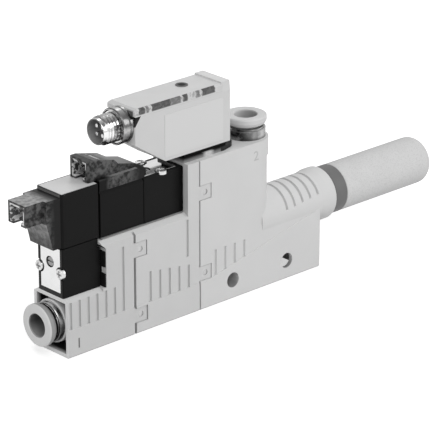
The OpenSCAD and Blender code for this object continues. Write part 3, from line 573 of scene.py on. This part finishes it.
# %% [markdown]
# ## Metals
# Turned and plated parts carry fine rings around their axis; they show as a slight change of
# roughness from ring to ring. In soft light a turned part also shows streaks along its length,
# light where it mirrors a lamp and dark between. `paint_reflections` paints such streaks into
# the colour, as painted reflections, by a colour ramp on where the surface looks, with some
# noise, so the metal keeps them under any light.

# %% Helpers for metals
def plated(name, color, roughness, along="X", pitch=0.15 * MM, depth=0.002 * MM):
    """Turned metal under a thin bright plate."""
    finish = Finish(name, color, roughness, Metallic=1.0)
    turns = finish.node("ShaderNodeMath", {"operation": "SINE"},
                        {0: finish.axis(along) * (2 * math.pi / pitch)})
    stain = finish.noise(1.1 * MM, detail=3)
    finish.set("Roughness", roughness + turns * 0.04 + (stain - 0.5) * 0.12)
    finish.tone(finish.mix(stain, color, [c * 0.86 for c in color]))
    finish.bump(turns, depth)
    return finish


def paint_reflections(finish, stops, axis="Z"):
    """Painted reflection streaks as a turned metal shows them: the painted shade follows where
    the surface looks.
    """
    height = 0.5 + 0.5 * finish.facing(axis)
    wobble = (finish.noise(0.9 * MM, detail=2) - 0.5) * 0.16
    finish.tone(finish.node("ShaderNodeValToRGB", {"stops": [
        (at, grey(level)) for at, level in stops]}, {0: height + wobble}))
    return finish


def paint_end_shading(finish, level):
    """Paints the faces that look square to the supply end, such as a cut end, one grey: a
    painted level of light and shade in place of what they would mirror.
    """
    finish.patch(finish.facing("X") < SQUARE_TO_SUPPLY, level)
    return finish


print("helpers for metals made")


# %% [markdown]
# ## The round connector's metal
# The threaded sleeve is the brightest piece, with painted reflection streaks. Its thread gets
# painted shade in the valleys, the ring behind the thread gets painted reflection streaks on
# its lower side, and its socket and front end are painted a plain grey that doesn't mirror: as
# mirrors they would show the dark valves below.

# %% Connector metal
def round_radius(node):
    """The radius of a solid that is round about a line along the row."""
    low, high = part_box(node)
    return (high.z - low.z) / 2


sleeve_low, sleeve_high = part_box("connector_sleeve")
SLEEVE_R = round_radius("connector_sleeve")
SLEEVE_Z = middle_height("connector_sleeve")
SOCKET_R = SLEEVE_R - 0.65 * MM
VALLEY = (SLEEVE_R - 0.12 * MM, SLEEVE_R - 0.42 * MM)
VALLEY_START = sleeve_low.x + 1.4 * MM
# Painted reflection streaks on the sleeve; its front end is painted a mid grey.
bright_plate = paint_end_shading(paint_reflections(plated("bright_plate", grey(205), 0.14), [
    (0.0, 20), (0.16, 40), (0.3, 150), (0.42, 222), (0.72, 212), (0.84, 110), (1.0, 190)]), 122)
from_axis = bright_plate.off_axis("X", (0, SLEEVE_Z))
# Painted shade in the valleys of the thread.
valley_shade = bright_plate.rise(from_axis, *VALLEY) * (bright_plate.axis("X") > VALLEY_START)
bright_plate.patch(valley_shade * 0.6, 80)

nose_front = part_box("connector_nose")[0].x
RING_START = (nose_front - 2.6 * MM, nose_front - 1.9 * MM)
# Painted reflection streaks on the lower side of the ring behind the thread.
behind = bright_plate.rise(bright_plate.axis("X"), *RING_START)
low_side = bright_plate.rise(bright_plate.facing("Z"), 0.75, 0.55)
streak = bright_plate.rise(bright_plate.noise(0.7 * MM, detail=2), 0.42, 0.58)
reflection_streaks = bright_plate.mix(streak, grey(70), grey(150))
bright_plate.tone(bright_plate.mix(behind * low_side, bright_plate.look, reflection_streaks))

# The socket and the front end are painted a plain grey and made not to mirror, in place of the
# dark valves they would mirror.
socket = from_axis < SOCKET_R
sleeve_end = bright_plate.facing("X") < SQUARE_TO_SUPPLY
bright_plate.patch(socket, 140)
bright_plate.set("Metallic", 1 - socket - sleeve_end * (1 - socket))
# Painted reflection streaks on the nose; its front end is painted pale.
nose_plate = paint_end_shading(paint_reflections(plated("nose_plate", grey(150), 0.2), [
    (0.0, 30), (0.2, 70), (0.38, 120), (0.5, 170), (0.6, 110), (0.85, 96), (1.0, 150)]), 226)
print("connector metal made; sleeve radius in mm:", round(SLEEVE_R / MM, 2))


# %% [markdown]
# ## Other metals and rubber
# The collars of the fittings are dark nickel; one lies along the row and one stands, so each
# has its own painted reflection streaks, and the one along the row has painted shade on its
# front end. The valves' plates are flat bright sheet, a little clouded. Rubber is matte, with a
# trace of dust in its texture.

# %% Collars, plates and seals
# Painted reflection streaks on both collars; painted shade on the front of the one along the
# row.
dark_plate_x = paint_end_shading(paint_reflections(plated("dark_plate_x", grey(96), 0.2), [
    (0.0, 60), (0.25, 90), (0.5, 76), (0.58, 100), (0.68, 160), (0.76, 150), (0.86, 150),
    (1.0, 235)]), 62)
dark_plate_z = paint_reflections(plated("dark_plate_z", grey(96), 0.2, along="Z"), [
    (0.0, 150), (0.05, 120), (0.1, 54), (0.16, 76), (0.25, 96), (0.34, 132), (0.44, 118),
    (0.56, 168), (0.72, 152), (1.0, 110)], "X")
screw_plate = plated("screw_plate", grey(210), 0.25, along="Z")
pin_plate = plated("pin_plate", grey(188), 0.5, along="Y")
contact_metal = plated("contact_metal", grey(226), 0.2)
pin_metal = plated("pin_metal", grey(214), 0.3)
turned_brass = plated("turned_brass", (0.66, 0.50, 0.24), 0.24)
plate_metal = Finish("plate_metal", grey(236), 0.1, Metallic=1.0)
cloudy = plate_metal.noise(2.2 * MM, detail=3)
plate_metal.set("Base Color", plate_metal.mix(cloudy, grey(206), grey(222)))
plate_metal.set("Roughness", 0.07 + cloudy * 0.06)
rubber = grained("rubber", grey(24), 0.62, grain=0.3 * MM, depth=0.01 * MM, drift=0.15, **DULL)
gasket = grained("gasket", grey(128), 0.62, grain=0.3 * MM, depth=0.01 * MM, **MATTE)
print("metals and rubber made")


# %% [markdown]
# ## Porous plastic
# The silencer is sintered: small grains of plastic fused where they touch, with dark pores
# between them. A cell pattern gives the grains, about a third of a millimetre across; the
# edges of the cells are the pores.

# %% Porous plastic
porous = Finish("porous_plastic", grey(206), 0.8, **MATTE)
GRAIN = 0.32 * MM
PORE_FROM = 0.62
PORE_SHARE = 0.35
cells = porous.node("ShaderNodeTexVoronoi", {"feature": "F1"},
                    {"Vector": porous.place, "Scale": 1 / GRAIN})
porous.tone(porous.mix(porous.noise(4 * MM), grey(203), grey(210)))
porous.patch((cells > PORE_FROM) * PORE_SHARE, 182)
porous.bump(1 - cells, 0.012 * MM)
print("porous plastic made")


# %% [markdown]
# ## The board under the clear cover
# The board is pale, and small black parts stand along its near edge, which is where one sees
# in through the side of the cover. One formula on the coordinates tells them apart.

# %% Board
EDGE_PARTS = 1.75 * MM
BOARD_THICK = 0.52 * MM
board = Finish("board", grey(205), 0.4)
board_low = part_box("switch_board")[0]
fibre = board.noise(0.5 * MM)
at_edge = (board.axis("Y") < board_low.y + EDGE_PARTS) * \
    (board.axis("Z") > board_low.z + BOARD_THICK)
board.tone(board.mix(fibre, grey(196), grey(214)))
board.patch(at_edge, 48)
board.bump(fibre, 0.004 * MM)
print("board made")


# %% [markdown]
# ## Give each solid its finish
# A solid keeps its mesh; only its material slots are assigned.

# %% Assign finishes
finish_of = {
    supply_plastic: ["supply_module"],
    middle_plastic: ["middle_module"],
    ejector_plastic: ["ejector_body"],
    ring_plastic_x: ["supply_release_ring"],
    ring_plastic_z: ["vacuum_release_ring"],
    dark_plate_x: ["supply_collar"],
    dark_plate_z: ["vacuum_collar"],
    pin_plate: ["link_pins"],
    screw_plate: ["supply_collet", "vacuum_collet", "supply_valve_screws",
                  "pulse_valve_screws", "switch_screw"],
    contact_metal: ["supply_plug_pins", "pulse_plug_pins"],
    pin_metal: ["connector_pins"],
    turned_brass: ["jet_nozzle", "receiver_nozzle"],
    rubber: ["supply_hose_seal", "vacuum_hose_seal", "nozzle_seal", "supply_valve_seal",
             "switch_seal"],
    gasket: ["pulse_valve_seal"],
    collar_plastic: ["exhaust_collar"],
    porous: ["silencer"],
    valve_plastic: ["supply_valve_body", "supply_valve_coil", "pulse_valve_body",
                    "pulse_valve_coil"],
    plate_metal: ["supply_valve_plate", "pulse_valve_plate"],
    button_plastic: ["supply_valve_override", "pulse_valve_override"],
    film: ["supply_valve_label", "switch_label"],
    smoky_upright: ["supply_plug"],
    smoky_lying: ["pulse_plug"],
    switch_plastic: ["switch_case"],
    cover_plastic: ["switch_cover"],
    board: ["switch_board"],
    key_plastic: ["switch_key"],
    foot_plastic: ["switch_foot"],
    nose_plate: ["connector_nose"],
    bright_plate: ["connector_sleeve"],
    insert_plastic: ["connector_insert"],
}


def dress(piece, finish):
    """Gives a whole piece one finish."""
    piece.data.materials.clear()
    piece.data.materials.append(finish.material)


for finish, names in finish_of.items():
    for name in names:
        dress(nodes[name], finish)
left_bare = set(nodes) - {name for names in finish_of.values() for name in names}
print("solids left bare:", sorted(left_bare))


# %% [markdown]
# ## New pieces
# A piece made here is a mesh whose object stays at the origin, like the solids, so that
# patterns and poses treat it the same way. `add_piece` does the bookkeeping: its finish, the
# body it moves with, and the solid it stands for.

# %% A helper for new pieces
def add_piece(name, mesh, finish, body="housing", stands_for=()):
    """Makes an object of a finished mesh and ties it to a body."""
    mesh.name = name
    piece = bpy.data.objects.new(name, mesh)
    bpy.context.scene.collection.objects.link(piece)
    dress(piece, finish)
    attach(piece, body)
    if stands_for:
        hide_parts(*stands_for)
    print(name, "has", len(mesh.polygons), "faces")
    return piece


# %% [markdown]
# ## Geometry Nodes from a script
# What repeats or follows a rule is best made by a tree of nodes. `Tree` builds one: its inputs
# are the sizes of the piece, each with a name, and `run` gives the finished tree a base mesh
# to work on and keeps the result as a plain mesh.

# %% Trees
class Tree:
    """A Geometry Nodes tree with named number inputs, applied to a mesh."""

    def __init__(self, name, inputs):
        self.group = bpy.data.node_groups.new(name, "GeometryNodeTree")
        face = self.group.interface
        face.new_socket("Geometry", in_out="INPUT", socket_type="NodeSocketGeometry")
        face.new_socket("Geometry", in_out="OUTPUT", socket_type="NodeSocketGeometry")
        self.keys = {}
        for label, value in inputs.items():
            kind = "NodeSocketInt" if isinstance(value, int) else "NodeSocketFloat"
            made = face.new_socket(label, in_out="INPUT", socket_type=kind)
            self.keys[label] = made.identifier
        self.values = inputs
        self.start = self.group.nodes.new("NodeGroupInput")
        self.end = self.group.nodes.new("NodeGroupOutput")

    def __getitem__(self, label):
        return self.start.outputs[label]

    def node(self, kind, settings=None, values=None):
        """Makes a node: its settings first, then the values or links of its sockets."""
        made = self.group.nodes.new(kind)
        for key, value in (settings or {}).items():
            setattr(made, key, value)
        for key, value in (values or {}).items():
            if isinstance(value, bpy.types.NodeSocket):
                self.group.links.new(value, made.inputs[key])
            else:
                made.inputs[key].default_value = value
        return made

    def math(self, operation, first, second=0.0):
        """The output of a Math node on numbers or links."""
        return self.node("ShaderNodeMath", {"operation": operation},
                         {0: first, 1: second}).outputs[0]

    def run(self, base, finish):
        """Ends the tree, applies it to a base mesh and returns the plain result."""
        last = self.node("GeometryNodeSetMaterial", {}, {"Material": finish.material})
        real = self.node("GeometryNodeRealizeInstances", {}, {"Geometry": self.made})
        self.group.links.new(real.outputs[0], last.inputs["Geometry"])
        self.group.links.new(last.outputs[0], self.end.inputs[0])
        carrier = bpy.data.objects.new(self.group.name, base)
        bpy.context.scene.collection.objects.link(carrier)
        modifier = carrier.modifiers.new("tree", "NODES")
        modifier.node_group = self.group
        for label, key in self.keys.items():
            modifier[key] = self.values[label]
        depsgraph = bpy.context.evaluated_depsgraph_get()
        result = bpy.data.meshes.new_from_object(carrier.evaluated_get(depsgraph))
        carrier.modifiers.clear()
        bpy.data.objects.remove(carrier)
        return result


print("trees are ready")


# %% [markdown]
# ## Turned shapes
# Three of the pieces below are turned, as on a lathe: a section goes round a line along the
# row. The section is closed, so the mesh has an inside and an outside, and after the turn its
# doubles are merged and its faces are made to look outwards.

# %% Helpers for meshes
SAME_PLACE = 1e-7


def shade(mesh, angle=35):
    """Smooth shading that keeps edges sharper than the angle."""
    mesh.shade_smooth()
    mesh.set_sharp_from_angle(angle=math.radians(angle))


def outwards(mesh):
    """Merges doubles and turns every face outwards."""
    work = bmesh.new()
    work.from_mesh(mesh)
    bmesh.ops.remove_doubles(work, verts=work.verts, dist=SAME_PLACE)
    bmesh.ops.recalc_face_normals(work, faces=work.faces)
    work.to_mesh(mesh)
    work.free()


def lathe(profile, axis_z, steps=96):
    """A closed mesh turned round a line along the row at that height.

    The profile is closed too, and its points are (place along the row, radius) in metres.
    """
    count = len(profile)
    verts = []
    for i in range(steps):
        angle = 2 * math.pi * i / steps
        y, z = math.cos(angle), math.sin(angle)
        verts += [(along, radius * y, axis_z + radius * z) for along, radius in profile]
    faces = []
    for i in range(steps):
        j = (i + 1) % steps
        for k in range(count):
            m = (k + 1) % count
            faces.append((i * count + k, j * count + k, j * count + m, i * count + m))
    mesh = bpy.data.meshes.new("lathe")
    mesh.from_pydata(verts, [], faces)
    outwards(mesh)
    return mesh


print("points closer than", SAME_PLACE, "m become one")


# %% [markdown]
# ## The connector's thread
# The metal sleeve of the round connector carries an 8 mm thread with a 1 mm pitch. A thread is
# a rule: the radius rises and falls with the distance along the axis, and the whole pattern
# shifts by one pitch for each turn. So the sleeve is first turned with a plain outside, in
# many fine rows, and a tree then moves each point of it inwards by what the rule gives.

# %% The sleeve's section
THREAD_PITCH = 1.0 * MM
THREAD_DEPTH = 0.5 * MM
SLEEVE_BORE = SLEEVE_R - 0.75 * MM
BORE_CHAMFER = 0.1 * MM
SPIGOT_L = 1.5 * MM
SPIGOT_R = SLEEVE_R - 0.45 * MM
SPIGOT_CHAMFER = 0.15 * MM
RUN_IN = 0.35 * MM
GROOVE_R = SLEEVE_R - 0.35 * MM
GROOVE_L = 0.6 * MM
SHOULDER_R = SLEEVE_R - 0.02 * MM
STEP = 0.05 * MM
THREAD_START = sleeve_low.x + SPIGOT_L
THREAD_END = nose_front - 0.55 * MM
THREAD_ROWS = 90


def sleeve_profile():
    """The sleeve's section, dense along the outside where the thread is cut."""
    front = [(sleeve_low.x, SLEEVE_BORE + BORE_CHAMFER),
             (sleeve_low.x, SPIGOT_R - SPIGOT_CHAMFER),
             (sleeve_low.x + SPIGOT_CHAMFER, SPIGOT_R),
             (THREAD_START - RUN_IN, SPIGOT_R)]
    thread_line = [(x, SLEEVE_R) for x in np.linspace(THREAD_START, THREAD_END, THREAD_ROWS)]
    rear = [(THREAD_END + STEP, GROOVE_R), (THREAD_END + GROOVE_L, GROOVE_R),
            (THREAD_END + GROOVE_L + STEP, SHOULDER_R), (sleeve_high.x, SHOULDER_R),
            (sleeve_high.x, SLEEVE_BORE)]
    return front + thread_line + rear + [(sleeve_low.x + BORE_CHAMFER, SLEEVE_BORE)]


print("thread runs over", round((THREAD_END - THREAD_START) / MM, 2), "mm")

# %% Cut the thread
ON_SKIN = 1e-5
JUST_PAST = 1e-6
thread = Tree("thread", {"Pitch": THREAD_PITCH, "Depth": THREAD_DEPTH, "Radius": SLEEVE_R,
                         "End": THREAD_END, "Axis Z": SLEEVE_Z})
position = thread.node("ShaderNodeSeparateXYZ", {}, {
    0: thread.node("GeometryNodeInputPosition").outputs[0]})
height = thread.math("SUBTRACT", position.outputs["Z"], thread["Axis Z"])
angle = thread.math("ARCTAN2", height, position.outputs["Y"])
turn = thread.math("DIVIDE", angle, 2 * math.pi)
travel = thread.math("DIVIDE", position.outputs["X"], thread["Pitch"])
wave = thread.math("PINGPONG", thread.math("ADD", travel, turn), 0.5)
reach = thread.math("MULTIPLY", wave, thread["Depth"])
radius = thread.math("SQRT", thread.math("ADD", thread.math("POWER", height, 2.0),
                                         thread.math("POWER", position.outputs["Y"], 2.0)))
scale = thread.math("DIVIDE", thread.math("SUBTRACT", radius, reach), radius)
outside = thread.math("GREATER_THAN", radius,
                      thread.math("SUBTRACT", thread["Radius"], ON_SKIN))
before = thread.math("LESS_THAN", position.outputs["X"],
                     thread.math("ADD", thread["End"], JUST_PAST))
shaped = thread.node("ShaderNodeCombineXYZ", {}, {
    0: position.outputs["X"],
    1: thread.math("MULTIPLY", position.outputs["Y"], scale),
    2: thread.math("ADD", thread.math("MULTIPLY", height, scale), thread["Axis Z"])})
moved = thread.node("GeometryNodeSetPosition", {}, {
    "Geometry": thread.start.outputs["Geometry"],
    "Selection": thread.math("MULTIPLY", outside, before),
    "Position": shaped.outputs[0]})
thread.made = moved.outputs[0]
sleeve_mesh = thread.run(lathe(sleeve_profile(), SLEEVE_Z), bright_plate)
outwards(sleeve_mesh)
shade(sleeve_mesh, 30)
add_piece("threaded_sleeve", sleeve_mesh, bright_plate,
          stands_for=["connector_sleeve"])


# %% [markdown]
# ## The rim round the supply collar
# The collar sits in a round boss, whose thin rim reaches out round it to the front of the
# housing. A ring like this is a section turned round an axis, so the lathe makes it as well.

# %% Turn the rim
RIM_SETBACK = 0.02 * MM
RIM_FRONT = row_low.x + RIM_SETBACK
RIM_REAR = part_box("supply_collar")[1].x - RIM_SETBACK
RIM_IN = round_radius("supply_collar") + 0.03 * MM
RIM_OUT = RIM_IN + 0.4 * MM
RIM_SOFT = 0.12 * MM
rim_mesh = lathe([(RIM_REAR, RIM_IN), (RIM_FRONT, RIM_IN), (RIM_FRONT, RIM_OUT - RIM_SOFT),
                  (RIM_FRONT + RIM_SOFT, RIM_OUT), (RIM_REAR, RIM_OUT)],
                 middle_height("supply_collar"))
shade(rim_mesh)
add_piece("boss_rim", rim_mesh, rim_plastic)


# %% [markdown]
# ## The silencer's grain
# Bump alone leaves a smooth outline. The silencer is rebuilt as a dense turned skin whose
# points are pushed in and out by a cell pattern, so that the grain also shows along its edge.

# %% The silencer's section
sil_low, sil_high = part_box("silencer")
SIL_R = round_radius("silencer")
SIL_Z = middle_height("silencer")
SIL_ROUND = 3 * MM
SIL_CHAMFER = 0.25 * MM
SIL_BORE = 4.05 * MM
SIL_BORE_END = sil_high.x - 3.5 * MM
GRAIN_SIZE = 0.34 * MM
GRAIN_HEIGHT = 0.05 * MM
ROW = 0.3 * MM
ARC_POINTS = 16
FACE_POINTS = 14
SIL_STEPS = 144
POLE = 0.02 * MM


def silencer_profile():
    """Section of the silencer: its side, its closed end, and back along the bore."""
    r = SIL_R - GRAIN_HEIGHT / 2
    round_x = sil_high.x - SIL_ROUND
    rows = int((round_x - sil_low.x) / ROW)
    side = [(x, r) for x in np.linspace(sil_low.x + SIL_CHAMFER, round_x, rows)]
    arc = [(round_x + SIL_ROUND * math.sin(a), r - SIL_ROUND + SIL_ROUND * math.cos(a))
           for a in np.linspace(0, math.pi / 2, ARC_POINTS)[1:]]
    face = [(sil_high.x, y) for y in np.linspace(r - SIL_ROUND, POLE, FACE_POINTS)[1:]]
    inside = [(SIL_BORE_END, POLE), (SIL_BORE_END, SIL_BORE), (sil_low.x, SIL_BORE)]
    return side + arc + face + inside + [(sil_low.x, r - SIL_CHAMFER)]


print("silencer is", round(2 * SIL_R / MM, 2), "mm across")

# %% Grow the grain
grow = Tree("grain", {"Grain": GRAIN_SIZE, "Height": GRAIN_HEIGHT})
grow_place = grow.node("GeometryNodeInputPosition").outputs[0]
speckle = grow.node("ShaderNodeTexVoronoi", {"feature": "F1"}, {
    "Vector": grow_place, "Scale": grow.math("DIVIDE", 1.0, grow["Grain"])}).outputs["Distance"]
lift = grow.math("MULTIPLY", grow.math("SUBTRACT", 0.5, speckle), grow["Height"])
normal = grow.node("GeometryNodeInputNormal").outputs[0]
push = grow.node("ShaderNodeVectorMath", {"operation": "SCALE"}, {0: normal, "Scale": lift})
grow.made = grow.node("GeometryNodeSetPosition", {}, {
    "Geometry": grow.start.outputs["Geometry"], "Offset": push.outputs[0]}).outputs[0]
silencer_mesh = grow.run(lathe(silencer_profile(), SIL_Z, steps=SIL_STEPS), porous)
shade(silencer_mesh, 60)
add_piece("grained_silencer", silencer_mesh, porous,
          stands_for=["silencer"])


# %% [markdown]
# ## Valve screws
# Each valve is held by a pair of small pan-head screws with a cross recess. One screw is
# modelled once, standing upright: its head is a fine polar grid whose height is a dome minus
# the recess, and both are plain functions of the place. A tree then sets a copy on each of a
# row of points, which is what instances are for, and the pair is turned into place as a mesh.

# %% The screw's head
HEAD_R = 1.45 * MM
HEAD_H = 1.1 * MM
HEAD_SIDE_H = HEAD_H * 0.62
HEAD_TOP_R = HEAD_R * 0.95
HEAD_DROP = 0.22
CROSS_HALF = 0.24 * MM
CROSS_REACH = 0.9 * MM
CROSS_DEPTH = 0.55 * MM
CROSS_SOFT = 0.07 * MM


def within(value, edge):
    """1 inside the edge and 0 outside it, with a soft step between."""
    return min(1.0, max(0.0, (edge - value) / CROSS_SOFT + 0.5))


def head_height(x, y):
    """The dome of the head, minus the cross recess."""
    across, along = sorted((abs(x), abs(y)))
    dome = HEAD_H * (1 - HEAD_DROP * (math.hypot(x, y) / HEAD_R) ** 4)
    return dome - CROSS_DEPTH * within(across, CROSS_HALF) * within(along, CROSS_REACH)


print("head is", round(2 * HEAD_R / MM, 2), "mm wide, its recess",
      round((HEAD_H - head_height(0, 0)) / MM, 2), "mm deep")

# %% One screw
SHANK_R = 0.6 * MM
HEAD_SPOKES = 72
HEAD_RINGS = 34


def pan_screw(shank_l):
    """A pan-head screw whose head stands on the XY plane and whose shank goes down."""
    spokes = [(math.cos(a), math.sin(a))
              for a in np.linspace(0, 2 * math.pi, HEAD_SPOKES, endpoint=False)]
    rim = [(HEAD_R * x, HEAD_R * y) for x, y in spokes]
    neck = [(x * SHANK_R / HEAD_R, y * SHANK_R / HEAD_R) for x, y in rim]
    work = bmesh.new()
    rings = [[work.verts.new((x, y, -shank_l)) for x, y in neck],
             [work.verts.new((x, y, 0)) for x, y in neck],
             [work.verts.new((x, y, 0)) for x, y in rim],
             [work.verts.new((x, y, HEAD_SIDE_H)) for x, y in rim]]
    for r in np.linspace(HEAD_TOP_R, POLE, HEAD_RINGS):
        row = [(r * x, r * y) for x, y in spokes]
        rings.append([work.verts.new((x, y, head_height(x, y))) for x, y in row])
    for lower, upper in zip(rings, rings[1:]):
        for k in range(HEAD_SPOKES):
            m = (k + 1) % HEAD_SPOKES
            work.faces.new((lower[k], lower[m], upper[m], upper[k]))
    work.faces.new(rings[-1])
    work.faces.new(rings[0][::-1])
    screw = bpy.data.meshes.new("screw")
    work.to_mesh(screw)
    work.free()
    outwards(screw)
    return screw


print("one screw's head has", HEAD_RINGS, "rings of", HEAD_SPOKES, "points on its top")

# %% Pairs of screws
def screw_pair(name, node, head_axis):
    """Two screws side by side across the row, with their heads towards the axis given."""
    low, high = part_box(node)
    spread = (high.y - low.y) / 2 - HEAD_R
    if head_axis == "-X":
        length = high.x - low.x - HEAD_H
        place = Matrix.Translation((low.x + HEAD_H, 0, middle_height(node))) @ \
            Matrix.Rotation(-math.pi / 2, 4, "Y")
    else:
        length = high.z - low.z - HEAD_H
        place = Matrix.Translation(((low.x + high.x) / 2, 0, high.z - HEAD_H))
    pair = Tree(name, {"Count": 2, "Spread": spread})
    first, step = [pair.node("ShaderNodeCombineXYZ", {}, {
        1: pair.math("MULTIPLY", pair["Spread"], times)}) for times in (-1.0, 2.0)]
    row = pair.node("GeometryNodeMeshLine", {}, {
        "Count": pair["Count"], "Start Location": first.outputs[0], "Offset": step.outputs[0]})
    pair.made = pair.node("GeometryNodeInstanceOnPoints", {}, {
        "Points": row.outputs[0], "Instance": pair.start.outputs["Geometry"]}).outputs[0]
    mesh = pair.run(pan_screw(length), screw_plate)
    mesh.transform(place)
    shade(mesh, 40)
    add_piece(name, mesh, screw_plate, stands_for=[node])


screw_pair("upright_screws", "supply_valve_screws", "-X")
screw_pair("lying_screws", "pulse_valve_screws", "+Z")


# %% [markdown]
# ## Port numbers
# The supply port is marked 1 and the vacuum port 2. The digits stand a hair proud of the side.
# The 1 is a clear darker grey, and the 2 is nearly as pale as its housing.

# %% Raised digits
DIGIT_PROUD = 0.06 * MM
BAND_PROUD = 0.15 * MM


def digit(name, text, size, x, z, side_y, finish):
    """A raised digit on the near side, its lower left corner at (x, z)."""
    curve = bpy.data.curves.new(name, "FONT")
    curve.body = text
    curve.size = size
    curve.extrude = DIGIT_PROUD
    curve.resolution_u = 6
    carrier = bpy.data.objects.new(name, curve)
    bpy.context.scene.collection.objects.link(carrier)
    carrier.matrix_world = Matrix.Translation((x, side_y, z)) @ Matrix.Rotation(
        math.pi / 2, 4, "X")
    bpy.context.view_layer.update()
    depsgraph = bpy.context.evaluated_depsgraph_get()
    mesh = bpy.data.meshes.new_from_object(carrier.evaluated_get(depsgraph))
    mesh.transform(carrier.matrix_world)
    bpy.data.objects.remove(carrier)
    outwards(mesh)
    add_piece(name, mesh, finish)


near_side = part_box("middle_module")[0].y
digit("digit_1", "1", 4.0 * MM, row_low.x + 2.4 * MM, 2.4 * MM, near_side, mark_plastic)
digit("digit_2", "2", 3.9 * MM, row_low.x + 65.6 * MM, 38.0 * MM, near_side + BAND_PROUD,
      faint_mark_plastic)


# %% [markdown]
# ## Floor and air
# The part stands on a white floor that runs on without a horizon. Seen directly, in a mirror
# or through clear plastic, floor and sky are white; for light they stay modest, so that pale
# plastics don't wash out. The Light Path node tells these ways of looking apart. The floor
# still takes the part's shadow, because only a part of its white is its own glow.

# %% Floor
FLOOR_GLOW = 0.6
FLOOR_HALF = 3.0
SEEN_BY = ("Is Camera Ray", "Is Glossy Ray", "Is Transmission Ray")
floor = Finish("floor", (0.72, 0.72, 0.72), 0.9)
seen, mirrored, through = [floor.node("ShaderNodeLightPath", out=ray) for ray in SEEN_BY]
floor.set("Emission Color", floor.mix(FLOOR_GLOW * (seen + mirrored + through),
                                      (0, 0, 0), (1, 1, 1)))
floor.set("Emission Strength", 1.0)
ground = bpy.data.meshes.new("floor")
ground.from_pydata([(x * FLOOR_HALF, y * FLOOR_HALF, 0)
                    for x, y in ((-1, -1), (1, -1), (1, 1), (-1, 1))], [], [(0, 1, 2, 3)])
floor_piece = bpy.data.objects.new("floor", ground)
bpy.context.scene.collection.objects.link(floor_piece)
dress(floor_piece, floor)
print("floor is", 2 * FLOOR_HALF, "m wide")

# %% World
WORLD_LIGHT = 0.42
world = bpy.data.worlds.new("air")
bpy.context.scene.world = world
world.use_nodes = True
sky = world.node_tree
path = sky.nodes.new("ShaderNodeLightPath")
looked_at = path.outputs[SEEN_BY[0]]
for ray in SEEN_BY[1:]:
    either = sky.nodes.new("ShaderNodeMath")
    either.operation = "MAXIMUM"
    sky.links.new(looked_at, either.inputs[0])
    sky.links.new(path.outputs[ray], either.inputs[1])
    looked_at = either.outputs[0]
strength = sky.nodes.new("ShaderNodeMapRange")
strength.inputs["To Min"].default_value = WORLD_LIGHT
strength.inputs["To Max"].default_value = 1.0
sky.links.new(looked_at, strength.inputs["Value"])
background = sky.nodes["Background"]
background.inputs["Color"].default_value = (1, 1, 1, 1)
sky.links.new(strength.outputs["Result"], background.inputs["Strength"])
print("air lights the part with", WORLD_LIGHT)


# %% [markdown]
# ## Lamps
# Four large soft lamps give the side that faces the camera nearly the same level all along.
# The key stands high in front, the side and the fill lamps reach the two ends, and the one at
# the back keeps the tops pale.

# %% Set up the lamps
LAMPS_AIM = Vector((0, 0, 0.03))


def lamp(name, at, size, watts):
    """A large soft lamp that looks at the middle of the part."""
    light = bpy.data.lights.new(name, "AREA")
    light.shape = "DISK"
    light.size = size
    light.energy = watts
    made = bpy.data.objects.new(name, light)
    bpy.context.scene.collection.objects.link(made)
    made.location = at
    made.rotation_mode = "QUATERNION"
    made.rotation_quaternion = (LAMPS_AIM - Vector(at)).to_track_quat("-Z", "Y")
    print(name, "lamp:", watts, "W")


lamp("key", (-0.35, -0.75, 0.75), 0.5, 3.5)
lamp("side", (0.38, -0.42, 0.3), 0.3, 1.0)
lamp("fill", (-0.95, -0.15, 0.45), 0.5, 2.2)
lamp("back", (0.5, 0.6, 0.9), 0.5, 2.0)
